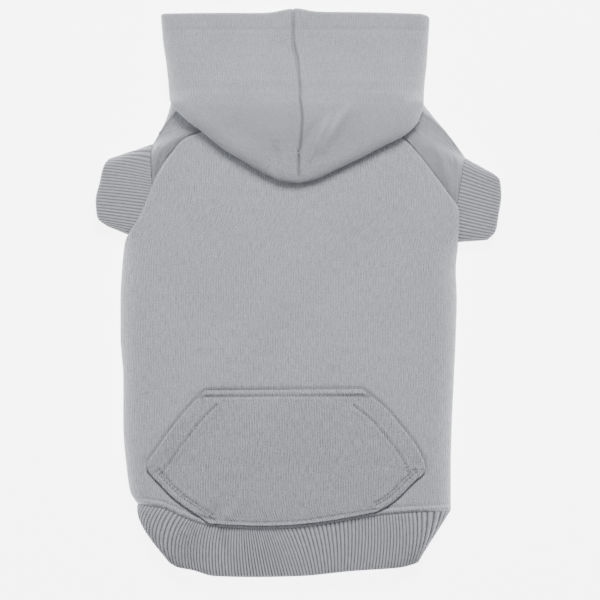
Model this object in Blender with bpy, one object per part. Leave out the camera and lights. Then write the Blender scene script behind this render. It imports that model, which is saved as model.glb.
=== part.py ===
"""A dog's fleece hoodie laid flat on its belly, hood folded over the back of the neck.

+Y points to the hood's mouth, +X to the right of someone who looks down on the back, +Z up.
Every cloth panel is a sheet of its own: the outer face is drawn from a few rows of named
points, the inner face lies one cloth thickness inside it, and neighbours meet at a seam gap.
"""

import math

import bpy
import numpy as np

# Driving sizes, in metres.
BODY_LENGTH = 0.2654  # back neckline to the hem seam, down the middle
BODY_WIDTH = 0.208  # across the body as it lies
LOFT = 0.015  # height of the body's top layer at its edges' plateau
DOME = 0.003  # how much higher the middle of the back lies
CLOTH = 0.002  # fleece jersey
RIB = 0.0023  # ribbed knit of the hem band and the cuffs
SEAM_GAP = 0.0004  # between two panels at a seam
RAGLAN_GAP = 0.0009  # between the back and a sleeve
CUFF_GAP = 0.0014  # between sleeve and cuff
HEM_GAP = 0.0009  # between the back and the hem band
NAPE_GAP = 0.0007  # between the hood's lower layer and the back
SIDE_TURN = 0.0055  # width of the rounded turn under the body's side
BAND_DEPTH = 0.0292  # hem band, seam to free edge
BAND_LOFT = 0.0135  # height of the hem band at its free edge
BAND_RIB_PITCH = 0.0054  # one solid rib stands for two and a half knitted ones
CUFF_LOFT = 0.0105  # height of a cuff as it lies
CUFF_RIB_PITCH = 0.0044
RIB_DEPTH = 0.0006
HOOD_WIDTH = 0.1625  # across the hood's mouth
HOOD_REACH = 0.0539  # neckline to the mouth
HOOD_DROP = 0.0515  # neckline to the hanging point
HOOD_LIFT = 0.0095  # hood's top layer above the back
HOOD_FOLD = 0.0040  # half of the height of the fold round the hood's lower edge
MOUTH_LOFT = 0.0100  # height of the hood at its mouth
MOUTH_PEAK = 0.0028  # how far the hood's seam stands out past its mouth
POCKET_WIDTH = 0.1724  # tip to tip
POCKET_DROP = 0.0843  # top edge to hem seam
POCKET_DOWN = 0.1798  # neckline to the pocket's top edge
POCKET_AXIS = -0.0074  # pocket's middle line from the hood seam
POCKET_LIFT = 0.0022  # how far the pocket's loose middle stands off the back

HALF = BODY_WIDTH / 2

# Side edge of the back, from the hem up: across as a share of HALF, down from the neckline as
# a share of BODY_LENGTH, height of the edge as a share of LOFT.
# The first nine rows are the side fold, the next three lap over the cuff, the rest are the
# raglan seam.
# left across, left down, left height, right across, right down, right height
BACK_EDGES = [
    (-0.954, 0.944, 0.43, 0.906, 0.960, 0.43),
    (-0.996, 0.916, 0.43, 0.906, 0.911, 0.43),
    (-1.020, 0.853, 0.43, 0.906, 0.853, 0.43),
    (-1.038, 0.759, 0.43, 0.912, 0.759, 0.43),
    (-1.038, 0.654, 0.43, 0.924, 0.654, 0.43),
    (-1.055, 0.549, 0.43, 0.936, 0.549, 0.43),
    (-1.055, 0.467, 0.43, 0.942, 0.467, 0.43),
    (-1.044, 0.386, 0.43, 0.936, 0.397, 0.43),
    (-1.026, 0.329, 0.52, 0.948, 0.343, 0.52),
    (-1.002, 0.306, 0.84, 0.954, 0.322, 0.84),
    (-0.948, 0.273, 0.90, 0.960, 0.294, 0.90),
    (-0.894, 0.222, 0.90, 0.960, 0.259, 0.90),
    (-0.841, 0.173, 0.92, 0.900, 0.220, 0.93),
    (-0.757, 0.123, 0.95, 0.817, 0.175, 0.95),
    (-0.680, 0.090, 0.96, 0.710, 0.121, 0.96),
    (-0.549, 0.068, 0.96, 0.596, 0.077, 0.96),
    (-0.453, 0.035, 0.96, 0.489, 0.037, 0.96),
    (-0.370, 0.000, 0.96, 0.382, 0.000, 0.96),
]
ARMPIT = 8  # the row of BACK_EDGES at the armpits
LAP_LEFT = 12  # the row where the left raglan seam comes out on top
LAP_RIGHT = 12

# Hem seam on top: share of the way across, how far it sags below the straight line as a
# share of BODY_LENGTH.
HEM_SAG = [
    (0.00, 0.000), (0.08, 0.008), (0.14, 0.026), (0.23, 0.046), (0.37, 0.052), (0.52, 0.046),
    (0.62, 0.034), (0.78, 0.013), (0.90, 0.004), (1.00, 0.000),
]
# How much of that sag the rows above the hem keep: row, share.
SAG_FADE = [(0.0, 1.0), (1.0, 0.75), (2.0, 0.4), (3.0, 0.12), (4.0, 0.0), (17.0, 0.0)]

# Hem seam and free edge on the belly side, left fold to right fold, where the belly is cut
# short: across as a share of HALF, down as a share of BODY_LENGTH.
BELLY_HEM = [
    (-0.878, 0.950), (-0.862, 0.875), (-0.785, 0.771), (-0.584, 0.689), (-0.286, 0.636),
    (-0.024, 0.619), (0.240, 0.636), (0.530, 0.689), (0.735, 0.771), (0.818, 0.875),
    (0.832, 0.966),
]
# Free edge: across as a share of HALF, down from the hem's middle in BAND_DEPTHs.
BAND_TOP_EDGE = [
    (-0.775, 0.702), (-0.720, 0.790), (-0.632, 0.851), (-0.495, 0.979), (-0.268, 1.000),
    (0.006, 0.979), (0.322, 0.872), (0.600, 0.800), (0.722, 0.702),
]
BAND_BELLY_EDGE = [
    (-0.775, 0.702), (-0.680, -0.170), (-0.590, -1.021), (-0.420, -1.900), (-0.220, -2.380),
    (-0.024, -2.500), (0.180, -2.380), (0.370, -1.900), (0.540, -1.021), (0.632, -0.170),
    (0.722, 0.702),
]
# How far the hem band's side folds bow outwards half way down, in BAND_DEPTHs.
BAND_BOW = 0.06

# Armhole of each sleeve under the lap of the back, from the underarm up: across as a share
# of HALF, down as a share of BODY_LENGTH, height as a share of LOFT.
ARMHOLE_LEFT = [
    (-0.938, 0.318, 0.33), (-0.894, 0.290, 0.68), (-0.841, 0.234, 0.70), (-0.800, 0.185, 0.70),
    (-0.795, 0.160, 0.72),
]
ARMHOLE_RIGHT = [
    (0.894, 0.334, 0.33), (0.888, 0.308, 0.68), (0.888, 0.271, 0.70), (0.880, 0.238, 0.70),
    (0.868, 0.213, 0.72),
]
# Front raglan seam on the belly side, underarm to neck: across, down.
FRONT_RAGLAN_LEFT = [(-0.938, 0.318), (-0.775, 0.210), (-0.600, 0.095), (-0.430, -0.011)]
FRONT_RAGLAN_RIGHT = [(0.894, 0.334), (0.760, 0.225), (0.600, 0.100), (0.440, -0.011)]
# The neckline's side point, where the sleeve's shoulder meets the hood: across, down, height.
NECK_SIDE_LEFT = (-0.764, 0.007, 0.45)
NECK_SIDE_RIGHT = (0.748, 0.007, 0.45)
NECK_FRONT_DOWN = -0.0130  # front neckline, share of BODY_LENGTH
# How far the shoulder's edge bows out between neck and cuff, share of HALF.
SHOULDER_BOW = 0.035

# Seam between sleeve and cuff, underarm to shoulder: across, down.
CUFF_SEAM_LEFT = [
    (-0.985, 0.320), (-0.906, 0.264), (-0.871, 0.210), (-0.877, 0.168), (-0.880, 0.130),
    (-0.868, 0.100),
]
CUFF_SEAM_RIGHT = [
    (0.936, 0.333), (0.930, 0.292), (0.948, 0.245), (0.969, 0.199), (0.984, 0.159),
    (1.001, 0.133),
]
# Which place on the cuff seam each place of the armhole's loop runs to, on the upper side
# from the underarm to the shoulder and on the lower side back again.
# share of the armhole, share of the cuff seam
SLEEVE_TOP_MATCH = [(0.0, 0.0), (0.30, 0.50), (0.45, 0.76), (0.62, 0.90), (0.80, 0.975), (1.0, 1.0)]
SLEEVE_UNDER_MATCH = [(0.0, 0.0), (0.12, 0.02), (0.38, 0.10), (0.70, 0.50), (1.0, 1.0)]
# Free edge of the cuff.
CUFF_END_LEFT = [
    (-1.135, 0.296), (-1.193, 0.273), (-1.203, 0.234), (-1.181, 0.194), (-1.157, 0.154),
    (-1.127, 0.134),
]
CUFF_END_RIGHT = [
    (1.127, 0.327), (1.175, 0.304), (1.193, 0.264), (1.208, 0.222), (1.199, 0.185),
    (1.157, 0.167),
]

# Rows of the hood from the mouth to the hanging point. Across as a share of half of
# HOOD_WIDTH; along in HOOD_REACHes ahead of the neckline or HOOD_DROPs behind it.
# seam across, seam along, left across, left along, right across, right along
HOOD_ROWS = [
    (-0.038, 1.000, -1.034, 0.977, 0.992, 0.943),
    (-0.038, 0.690, -1.023, 0.690, 0.985, 0.667),
    (-0.008, 0.437, -1.000, 0.414, 0.975, 0.391),
    (0.008, 0.230, -0.988, 0.207, 0.964, 0.207),
    (0.015, 0.075, -0.983, 0.075, 0.960, 0.075),
    (0.015, 0.030, -0.980, 0.024, 0.959, 0.024),
    (0.015, -0.012, -0.966, -0.048, 0.956, -0.048),
    (0.027, -0.145, -0.870, -0.217, 0.917, -0.253),
    (0.031, -0.265, -0.725, -0.392, 0.817, -0.422),
    (0.027, -0.373, -0.573, -0.590, 0.649, -0.560),
    (0.023, -0.470, -0.405, -0.753, 0.473, -0.705),
    (0.019, -0.542, -0.237, -0.904, 0.290, -0.843),
    (0.015, -0.590, -0.115, -0.982, 0.122, -0.964),
    (0.004, -0.620, 0.004, -1.004, 0.004, -1.004),
]
# Height of the hood's top layer, of its edge and of its lower layer in those rows: the first
# two as shares of the way from the mouth's height to the full height, the last as a share of
# the back's height, and how far the lower layer reaches towards the middle.
HOOD_HEIGHTS = [
    (0.00, 0.50, 0.0, 0.055),
    (0.16, 0.44, 0.0, 0.330),
    (0.42, 0.42, 0.0, 0.600),
    (0.66, 0.42, 0.0, 0.830),
    (0.80, 0.42, 0.0, 0.985),
    (0.86, 0.62, 0.5, 0.985),
    (0.90, 0.00, 1.0, 1.000),
    (0.97, 0.00, 1.0, 1.000),
    (1.00, 0.00, 1.0, 1.000),
    (1.00, 0.00, 1.0, 1.000),
    (0.98, 0.00, 1.0, 1.000),
    (0.95, 0.00, 1.0, 1.000),
    (0.90, 0.00, 1.0, 1.000),
    (0.86, 0.00, 1.0, 1.000),
]
THROAT_ROW = 4  # last row whose lower layer is the throat flap on the floor
NAPE_ROW = 6  # first row whose lower layer lies on the back
# Wrinkles of the hood: across, along of one end, of the other end, width, height, all in
# HOOD_WIDTHs except the height, in CLOTHs.
HOOD_WRINKLES = [
    (0.046, -0.187, 0.115, -0.060, 0.030, 0.55),
    (0.090, -0.187, 0.190, -0.040, 0.034, 0.45),
    (-0.085, -0.175, -0.095, -0.280, 0.024, -0.50),
]

# Pocket edges from the top edge down: across as a share of half of POCKET_WIDTH, down as a
# share of POCKET_DROP, how loose the row lies.
# left across, left down, right across, right down, loose
POCKET_ROWS = [
    (-0.576, 0.000, 0.547, -0.007, 0.0),
    (-0.691, 0.118, 0.698, 0.118, 0.8),
    (-0.820, 0.279, 0.835, 0.279, 1.0),
    (-0.928, 0.434, 0.950, 0.441, 1.0),
    (-1.000, 0.559, 1.000, 0.577, 0.7),
    (-0.906, 0.691, 0.899, 0.691, 0.6),
    (-0.799, 0.801, 0.799, 0.794, 0.5),
    (-0.669, 0.894, 0.705, 0.865, 0.3),
    (-0.554, 0.976, 0.655, 0.890, 0.0),
]
POCKET_SAG = 0.052  # bottom edge's sag in POCKET_DROPs
OPEN_TO = 4  # the pocket is open at its sides down to this row


def smooth(table, at, column=1):
    """A column of a table at given places in its first column, without overshoot."""
    x = np.array([row[0] for row in table])
    y = np.array([row[column] for row in table])
    return hermite(x, y, np.asarray(at, float))


def hermite(x, y, at):
    """Monotone cubic through the points (x, y)."""
    step = np.diff(x)
    slope = np.diff(y) / step
    m = np.zeros(len(x))
    same = slope[:-1] * slope[1:] > 0
    a, b = slope[:-1][same], slope[1:][same]
    m[1:-1][same] = 2 * a * b / (a + b)
    m[0], m[-1] = slope[0], slope[-1]
    i = np.clip(np.searchsorted(x, at, side="right") - 1, 0, len(x) - 2)
    t = (at - x[i]) / step[i]
    return (
        y[i] * (1 + 2 * t) * (1 - t) ** 2
        + m[i] * step[i] * t * (1 - t) ** 2
        + y[i + 1] * t * t * (3 - 2 * t)
        + m[i + 1] * step[i] * t * t * (t - 1)
    )


def between(rows, at):
    """All columns of a table of rows at a fractional row number."""
    table = np.array(rows, float)
    n = np.arange(len(table), dtype=float)
    return [float(hermite(n, table[:, k], np.array([at]))[0]) for k in range(table.shape[1])]


def lengths(line):
    """Running length at each point of a line."""
    steps = np.linalg.norm(np.diff(np.array(line, float), axis=0), axis=1)
    return np.concatenate([[0], np.cumsum(steps)])


def along(points, spots):
    """Points of a polyline at given shares of its length."""
    p = np.array(points, float)
    run = lengths(p)
    s = np.asarray(spots) * run[-1]
    return np.stack([np.interp(s, run, p[:, k]) for k in range(p.shape[1])], 1)


def curve(points, count):
    """A smooth line through a few points, spaced evenly."""
    p = np.array(points, float)
    run = lengths(p)
    s = np.linspace(0, run[-1], count)
    return np.stack([hermite(run, p[:, k], s) for k in range(p.shape[1])], 1)


def place(across, down):
    """Plan position from shares of the body's sizes; the neckline's line is y = 0."""
    return across * HALF, -down * BODY_LENGTH


def back_height(x, y):
    """Height of the body's top layer away from its edges."""
    s = min(max(-y / BODY_LENGTH, 0.0), 1.0)
    c = min(abs(x) / HALF, 1.0)
    return LOFT + DOME * (1 - c * c) * math.sin(math.pi * s) ** 0.8


def roll(d, width):
    """Rise of a rounded edge at distance d from it: 0 at the edge, 1 past its width."""
    if d >= width:
        return 1.0
    return math.sqrt(max(0.0, 1 - (1 - d / width) ** 2))


def roll_width(rise):
    return max(0.0025, 1.6 * rise)


def sheet(name, grid, thick, material, cells=None, relief=None, closed=False):
    """A closed solid from a grid of points on the outer face and a thickness."""
    grid = np.array(grid, float)
    rows, cols = grid.shape[:2]
    span = cols if closed else cols - 1
    use = np.ones((rows - 1, span), bool) if cells is None else cells
    flat = grid.reshape(-1, 3)
    normal = np.zeros_like(flat)
    quads = []
    for j in range(rows - 1):
        for i in range(span):
            if not use[j, i]:
                continue
            k = (i + 1) % cols
            q = [j * cols + i, j * cols + k, (j + 1) * cols + k, (j + 1) * cols + i]
            n = np.cross(flat[q[2]] - flat[q[0]], flat[q[3]] - flat[q[1]])
            for v in q:
                normal[v] += n / max(np.linalg.norm(n), 1e-12)
            quads.append(q)
    normal /= np.maximum(np.linalg.norm(normal, axis=1), 1e-9)[:, None]
    edges = {}
    for q in quads:
        for a, b in zip(q, q[1:] + q[:1]):
            edges[(a, b)] = edges.get((a, b), 0) + 1
    rim = [(a, b) for a, b in edges if (b, a) not in edges]
    for a, b in rim:
        for v in (a, b):
            if abs(normal[v, 2]) > 0.5:
                normal[v] = (0, 0, math.copysign(1, normal[v, 2]))
    used = sorted({v for q in quads for v in q})
    number = {v: k for k, v in enumerate(used)}
    outer = flat[used].copy()
    if relief is not None:
        outer += normal[used] * np.array(relief, float).reshape(-1)[used][:, None]
    inner = flat[used] - normal[used] * thick
    count = len(used)
    faces = [[number[v] for v in q] for q in quads]
    faces += [[number[v] + count for v in reversed(q)] for q in quads]
    faces += [[number[b], number[a], number[a] + count, number[b] + count] for a, b in rim]
    mesh = bpy.data.meshes.new(name)
    mesh.from_pydata([tuple(p) for p in np.vstack([outer, inner])], [], faces)
    mesh.validate()
    mesh.shade_smooth()
    mesh.set_sharp_from_angle(angle=math.radians(50))
    mesh.materials.append(material)
    obj = bpy.data.objects.new(name, mesh)
    bpy.context.scene.collection.objects.link(obj)
    return obj


def fabric(name, colour, roughness):
    m = bpy.data.materials.new(name)
    m.use_nodes = True
    shader = m.node_tree.nodes["Principled BSDF"]
    shader.inputs["Base Color"].default_value = (*colour, 1)
    shader.inputs["Roughness"].default_value = roughness
    shader.inputs["Metallic"].default_value = 0
    return m


ROLL_STEPS = (0.0, 0.28, 0.62, 1.0)  # quarter turns of the upper edge, in right angles
TURN_STEPS = (1.0, 0.5)  # quarter turns of the lower edge, from its floor end


def back_row(at, middle=9):
    """One row of the back from its left end to its right end, at a row of BACK_EDGES."""
    lx, ld, lh, rx, rd, rh = between(BACK_EDGES, at)
    left, right = np.array(place(lx, ld)), np.array(place(rx, rd))
    fade = float(smooth(SAG_FADE, [at])[0])
    span = np.linalg.norm(right - left)

    def plan(u):
        p = left + (right - left) * u
        p[1] -= float(smooth(HEM_SAG, [u])[0]) * fade * BODY_LENGTH
        return p

    row = []
    widths = []
    for side, height in ((0, lh), (1, rh)):
        low = height * LOFT
        width = roll_width(back_height(*(left, right)[side]) - low)
        widths.append((low, width))
    spots = [(width * (1 - math.cos(a * math.pi / 2)) / span) for _, width in widths[:1] for a in ROLL_STEPS]
    ends = [(widths[1][1] * (1 - math.cos(a * math.pi / 2)) / span) for a in ROLL_STEPS]
    inner = np.linspace(spots[-1], 1 - ends[-1], middle + 2)[1:-1]
    for a, u in zip(ROLL_STEPS, spots):
        p = plan(u)
        low = widths[0][0]
        row.append((p[0], p[1], low + (back_height(*p) - low) * math.sin(a * math.pi / 2)))
    for u in inner:
        p = plan(u)
        row.append((p[0], p[1], back_height(*p)))
    for a, u in reversed(list(zip(ROLL_STEPS, ends))):
        p = plan(1 - u)
        low = widths[1][0]
        row.append((p[0], p[1], low + (back_height(*p) - low) * math.sin(a * math.pi / 2)))
    return row


def turn_under(edge, inward, height):
    """Points of the turn under a side fold, from the floor up, the edge left out."""
    out = []
    for a in TURN_STEPS:
        d = SIDE_TURN * (1 - math.cos(a * math.pi / 2))
        z = height * (1 - math.sin(a * math.pi / 2))
        out.append((edge[0] + inward * d, edge[1], z))
    return out


def build_back(material):
    steps = 2
    rows = []
    cells = []
    last = (len(BACK_EDGES) - 1) * steps
    for j in range(last + 1):
        row = back_row(j / steps)
        left, right = row[0], row[-1]
        rows.append(turn_under(left, 1, left[2]) + row + turn_under(right, -1, right[2])[::-1])
        if j < last:
            side = j / steps < ARMPIT
            turns = len(TURN_STEPS)
            cells.append([side] * turns + [True] * (len(row) - 1) + [side] * turns)
    return sheet("back_panel", rows, CLOTH, material, np.array(cells))


def aside(line, distance):
    """A line in plan moved sideways, to the left of its own direction."""
    p = np.array(line, float)[:, :2]
    way = np.gradient(p, axis=0)
    way /= np.linalg.norm(way, axis=1)[:, None]
    return p + np.column_stack([-way[:, 1], way[:, 0]]) * distance


def belly_hem():
    """Hem seam on the belly side, left to right."""
    return np.array([place(*p) for p in curve(BELLY_HEM, 19)])


def front_raglan(table):
    """Front raglan seam from the underarm to the neck."""
    return np.array([place(*p) for p in curve(table, 7)])


def build_belly(material):
    """Flat panel under the body: cut short in an arch at the hem, narrowed by the sleeves."""
    inset = SIDE_TURN + SEAM_GAP * 1.5
    sides = []
    for k, raglan, inward in ((0, FRONT_RAGLAN_LEFT, 1), (3, FRONT_RAGLAN_RIGHT, -1)):
        line = []
        for at in (0.5, 1.0, 1.5, 2.0, 3.0, 4.0, 5.0, 6.0, 7.0, 7.5, 8.0):
            e = between(BACK_EDGES, at)
            x, y = place(e[k], e[k + 1])
            line.append((x + inward * inset, y))
        line += [tuple(p) for p in aside(front_raglan(raglan), -inward * SEAM_GAP)[1:]]
        sides.append(np.array(line))
    hem = aside(belly_hem(), SEAM_GAP / 2)
    hem = np.vstack([sides[0][0], hem[1:-1], sides[1][0]])
    share = np.linspace(0, 1, len(hem))
    rows = []
    run = lengths(sides[0])
    for (left, right), done in zip(zip(*sides), run / run[-1]):
        keep = 1 - done
        row = []
        for u, h in zip(share, hem):
            straight = sides[0][0] * (1 - u) + sides[1][0] * u
            p = left * (1 - u) + right * u + (h - straight) * keep
            row.append((p[0], p[1], 0.0))
        rows.append(row[::-1])
    return sheet("belly_panel", rows, CLOTH, material)


def hem_ring():
    """The loop that back and belly offer to the hem band: over the top, then back below."""
    top = back_row(0)
    left = turn_under(top[0], 1, top[0][2])
    right = turn_under(top[-1], -1, top[-1][2])
    under = aside(belly_hem(), -SEAM_GAP / 2)
    under = [(x, y, 0.0) for x, y in under[1:-1]]
    top = [(x, y - HEM_GAP, z) for x, y, z in left[1:] + top + right[::-1][:-1]]
    ends = [(x, y - HEM_GAP, z) for x, y, z in (right[0], left[0])]
    return [top, ends[:1] + under[::-1] + ends[1:]]


def free_ring():
    """The band's free edge in the same order."""
    middle = -place(0, 1)[1]
    top = [(a * HALF, -middle - d * BAND_DEPTH) for a, d in curve(BAND_TOP_EDGE, 61)]
    under = [(a * HALF, -middle - d * BAND_DEPTH) for a, d in curve(BAND_BELLY_EDGE, 61)]
    edge = BACK_EDGES[0][2] * LOFT
    loop = [[], []]
    run = lengths(top)
    for p, s in zip(top, run):
        near = min(s, run[-1] - s)
        rise = BAND_LOFT - edge
        loop[0].append((*p, edge + rise * roll(near, roll_width(rise))))
    run = lengths(under)
    for p, s in list(zip(under, run))[::-1][1:-1]:
        loop[1].append((*p, edge * (1 - roll(min(s, run[-1] - s), SIDE_TURN))))
    return loop


def build_band(material):
    """Ribbed hem band: one loop, seam to free edge, with its ribs as grooves."""
    rings, turns = [], []
    for top, under in (hem_ring(), free_ring()):
        loop = np.array(top + under + top[:1])
        run = lengths(loop)
        rings.append(loop)
        turns.append(run[len(top) - 1] / run[-1])
    points = 2 * round(lengths(rings[0])[-1] / BAND_RIB_PITCH)
    share = np.arange(points) / points
    a = along(rings[0], spots=share)
    b = along(rings[1], spots=np.interp(share, [0, turns[0], 1], [0, turns[1], 1]))
    rows = []
    for t in (0.0, 0.5, 1.0):
        row = a * (1 - t) + b * t
        bow = 4 * t * (1 - t) * BAND_BOW * BAND_DEPTH
        row[:, 0] += np.sign(row[:, 0]) * bow * np.abs(row[:, 0] / HALF) ** 4
        rows.append(row)
    rows = np.array(rows)
    relief = np.zeros(rows.shape[:2])
    relief[:, 1::2] = -RIB_DEPTH
    return sheet("waistband", rows[::-1], RIB, material, relief=relief, closed=True)


def sleeve_rings(side):
    """The armhole loop, the cuff seam loop and the cuff's free loop of one side."""
    k = 0 if side < 0 else 3
    armhole = (ARMHOLE_LEFT, ARMHOLE_RIGHT)[k // 3]
    front = (FRONT_RAGLAN_LEFT, FRONT_RAGLAN_RIGHT)[k // 3]
    lap = (LAP_LEFT, LAP_RIGHT)[k // 3]
    neck = (NECK_SIDE_LEFT, NECK_SIDE_RIGHT)[k // 3]
    seam = (CUFF_SEAM_LEFT, CUFF_SEAM_RIGHT)[k // 3]
    end = (CUFF_END_LEFT, CUFF_END_RIGHT)[k // 3]
    top = [(*place(a, d), h * LOFT) for a, d, h in armhole]
    rise = [(0.6, 0.80), (1.2, 0.88), (1.9, 0.955)]
    for at in [lap + r for r, _ in rise] + list(np.arange(lap + 2.25, len(BACK_EDGES) - 0.99, 0.25)):
        e = between(BACK_EDGES, at)
        before = between(BACK_EDGES, at - 0.2)
        here, back = np.array(place(e[k], e[k + 1])), np.array(place(before[k], before[k + 1]))
        way = (here - back) / np.linalg.norm(here - back)
        out = np.array([way[1], -way[0]]) * side
        height = dict((lap + r, h) for r, h in rise).get(at, e[k + 2])
        p = here + out * RAGLAN_GAP
        top.append((p[0], p[1], height * LOFT))
    corner = top[-1]
    nx, ny = place(neck[0], neck[1])
    turn = roll_width(corner[2] - neck[2] * LOFT)
    for u in (0.25, 0.5):
        x = corner[0] + (nx - side * turn - corner[0]) * u * 2
        top.append((x, corner[1] + (ny - corner[1]) * u, corner[2]))
    for a in (0.66, 0.33, 0.0):
        x = nx - side * turn * (1 - math.cos(a * math.pi / 2))
        low = neck[2] * LOFT
        top.append((x, ny, low + (corner[2] - low) * math.sin(a * math.pi / 2)))
    under = [(nx, ny, neck[2] * LOFT)]
    low_y = -NECK_FRONT_DOWN * BODY_LENGTH
    for a in (0.5, 1.0):
        d = SIDE_TURN * (1 - math.cos(a * math.pi / 2))
        z = neck[2] * LOFT * (1 - math.sin(a * math.pi / 2))
        under.append((nx - side * d, ny + (low_y - ny) * a, z))
    fx = place(*front[-1])[0]
    under.append(((nx + fx) / 2, low_y, 0.0))
    for x, y in aside(front_raglan(front), -side * SEAM_GAP / 2)[::-1][:-1]:
        under.append((x, min(y, low_y), 0.0))
    under.append(top[0])

    def tube(line, loft):
        plan = np.array([place(a, d) for a, d in curve(line, 41)])
        run = lengths(plan)
        near = np.minimum(run, run[-1] - run)
        lift = np.array([roll(s, loft * 0.75) for s in near]) * loft / 2
        upper = np.column_stack([plan, loft / 2 + lift])
        lower = np.column_stack([plan, loft / 2 - lift])[::-1]
        return upper, lower

    return (top, under), tube(seam, CUFF_LOFT), tube(end, CUFF_LOFT)


SLEEVE_TOP, SLEEVE_UNDER = 20, 14  # points along the upper and the lower side of a sleeve


def loop_of(parts, spots_top, spots_under):
    upper = along(parts[0], spots=spots_top)
    lower = along(parts[1], spots=spots_under)
    return np.vstack([upper, lower[1:-1]])


def eased(count, ease=0.45):
    """Shares from 0 to 1 that crowd a little towards both ends."""
    u = np.linspace(0, 1, count)
    return u * (1 - ease) + ease * (0.5 - 0.5 * np.cos(math.pi * u))


def build_sleeve(name, side, material):
    hole, seam, _ = sleeve_rings(side)
    spots = eased(SLEEVE_TOP, 0.2), eased(SLEEVE_UNDER, 0.3)
    a = loop_of(hole, *spots)
    b = loop_of(seam, smooth(SLEEVE_TOP_MATCH, spots[0]), smooth(SLEEVE_UNDER_MATCH, spots[1]))
    rows = []
    for t in (0.0, 0.3, 0.65, 1.0):
        row = a * (1 - t) + b * t
        swell = 4 * t * (1 - t) * SHOULDER_BOW * HALF
        shoulder = np.exp(-(((np.arange(len(row)) - (SLEEVE_TOP - 1)) / 4.0) ** 2))
        row[:, 0] += side * swell * shoulder
        row[:, 1] += 0.6 * swell * shoulder
        rows.append(row)
    rows = np.array(rows)
    if side > 0:
        rows = rows[::-1]
    return sheet(name, rows, CLOTH, material, closed=True)


def build_cuff(name, side, material):
    _, seam, end = sleeve_rings(side)
    half = round(lengths(np.vstack(seam))[-1] / CUFF_RIB_PITCH)
    spots = eased(half + 1, 0.25)
    a = loop_of(seam, spots, spots)
    b = loop_of(end, spots, spots)
    way = b - a
    a += way / np.linalg.norm(way, axis=1)[:, None] * CUFF_GAP
    rows = np.array([a * (1 - t) + b * t for t in (0.0, 0.5, 1.0)])
    relief = np.zeros(rows.shape[:2])
    relief[:, 1::2] = -RIB_DEPTH
    if side > 0:
        rows, relief = rows[::-1], relief[::-1]
    return sheet(name, rows, RIB, material, relief=relief, closed=True)


def hood_plan(across, ahead):
    reach = HOOD_REACH if ahead > 0 else HOOD_DROP
    return np.array([across * HOOD_WIDTH / 2, ahead * reach])


def wrinkle(x, y):
    """Soft folds of the hood's top layer."""
    z = 0.0
    for x0, y0, x1, y1, width, height in HOOD_WRINKLES:
        a = np.array([x0, y0]) * HOOD_WIDTH
        b = np.array([x1, y1]) * HOOD_WIDTH
        p = np.array([x, y])
        t = min(max(np.dot(p - a, b - a) / np.dot(b - a, b - a), 0.0), 1.0)
        d = np.linalg.norm(p - a - (b - a) * t) / (width * HOOD_WIDTH)
        z += height * CLOTH * math.exp(-d * d) * math.sin(math.pi * (0.1 + 0.8 * t))
    return z


HOOD_TOP = 7  # columns of the top layer from the seam to the start of the edge's roll
HOOD_UNDER = 5


def hood_row(at, side):
    """One row: out from the centre seam on top, round the fold and back below."""
    row = between(HOOD_ROWS, at)
    top, edge, low, reach = between(HOOD_HEIGHTS, at)
    centre = hood_plan(row[0], row[1])
    rim = hood_plan(*(row[2:4] if side < 0 else row[4:6]))
    centre[0] += side * SEAM_GAP
    if at >= len(HOOD_ROWS) - 1:
        rim[0] += side * SEAM_GAP
    way = rim - centre
    length = np.linalg.norm(way)
    way /= length
    full = LOFT + DOME + HOOD_LIFT
    height = MOUTH_LOFT + (full - MOUTH_LOFT) * top

    def floor_of(p):
        return low * (back_height(p[0], p[1]) + NAPE_GAP) if low > 0 else 0.0

    ground = floor_of(rim)
    lip = ground + HOOD_FOLD if low >= 1 else max(edge * height, HOOD_FOLD)
    if 0 < low < 1:
        lip = ground + HOOD_FOLD * 1.4
    width = min(1.5 * (height - lip), 0.75 * length)
    turn = min(HOOD_FOLD * 1.1, 0.3 * length)
    points = []
    for s in np.linspace(0, length - width, HOOD_TOP):
        p = centre + way * s
        p[1] += MOUTH_PEAK * max(0.0, 1 - at) * math.exp(-((s / (0.09 * HOOD_WIDTH)) ** 2))
        points.append((*p, height + wrinkle(*p)))
    for a in (0.72, 0.45, 0.2):
        p = centre + way * (length - width * (1 - math.cos(a * math.pi / 2)))
        points.append((*p, lip + (height - lip) * math.sin(a * math.pi / 2) + wrinkle(*p) * a))
    points.append((*rim, lip))
    for a in (0.5, 1.0):
        p = centre + way * (length - turn * (1 - math.cos(a * math.pi / 2)))
        points.append((*p, floor_of(p) + (lip - ground) * (1 - math.sin(a * math.pi / 2))))
    start = length - turn
    finish = length - max(reach * length, turn + 0.0015)
    for s in np.linspace(start, finish, HOOD_UNDER)[1:]:
        p = centre + way * s
        points.append((*p, floor_of(p)))
    return points


def build_hood(name, side, material):
    spots = list(np.arange(0, THROAT_ROW, 0.8)) + [4.0, 5.0] + list(np.arange(6, 13.01, 0.7))
    rows = [hood_row(at, side) for at in spots]
    cols = len(rows[0])
    cells = np.ones((len(rows) - 1, cols - 1), bool)
    for j, at in enumerate(spots[:-1]):
        if THROAT_ROW <= at < NAPE_ROW:
            cells[j, cols - HOOD_UNDER :] = False
    rows = np.array(rows)
    if side > 0:
        rows, cells = rows[::-1], cells[::-1]
    return sheet(name, rows, CLOTH, material, cells)


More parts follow.
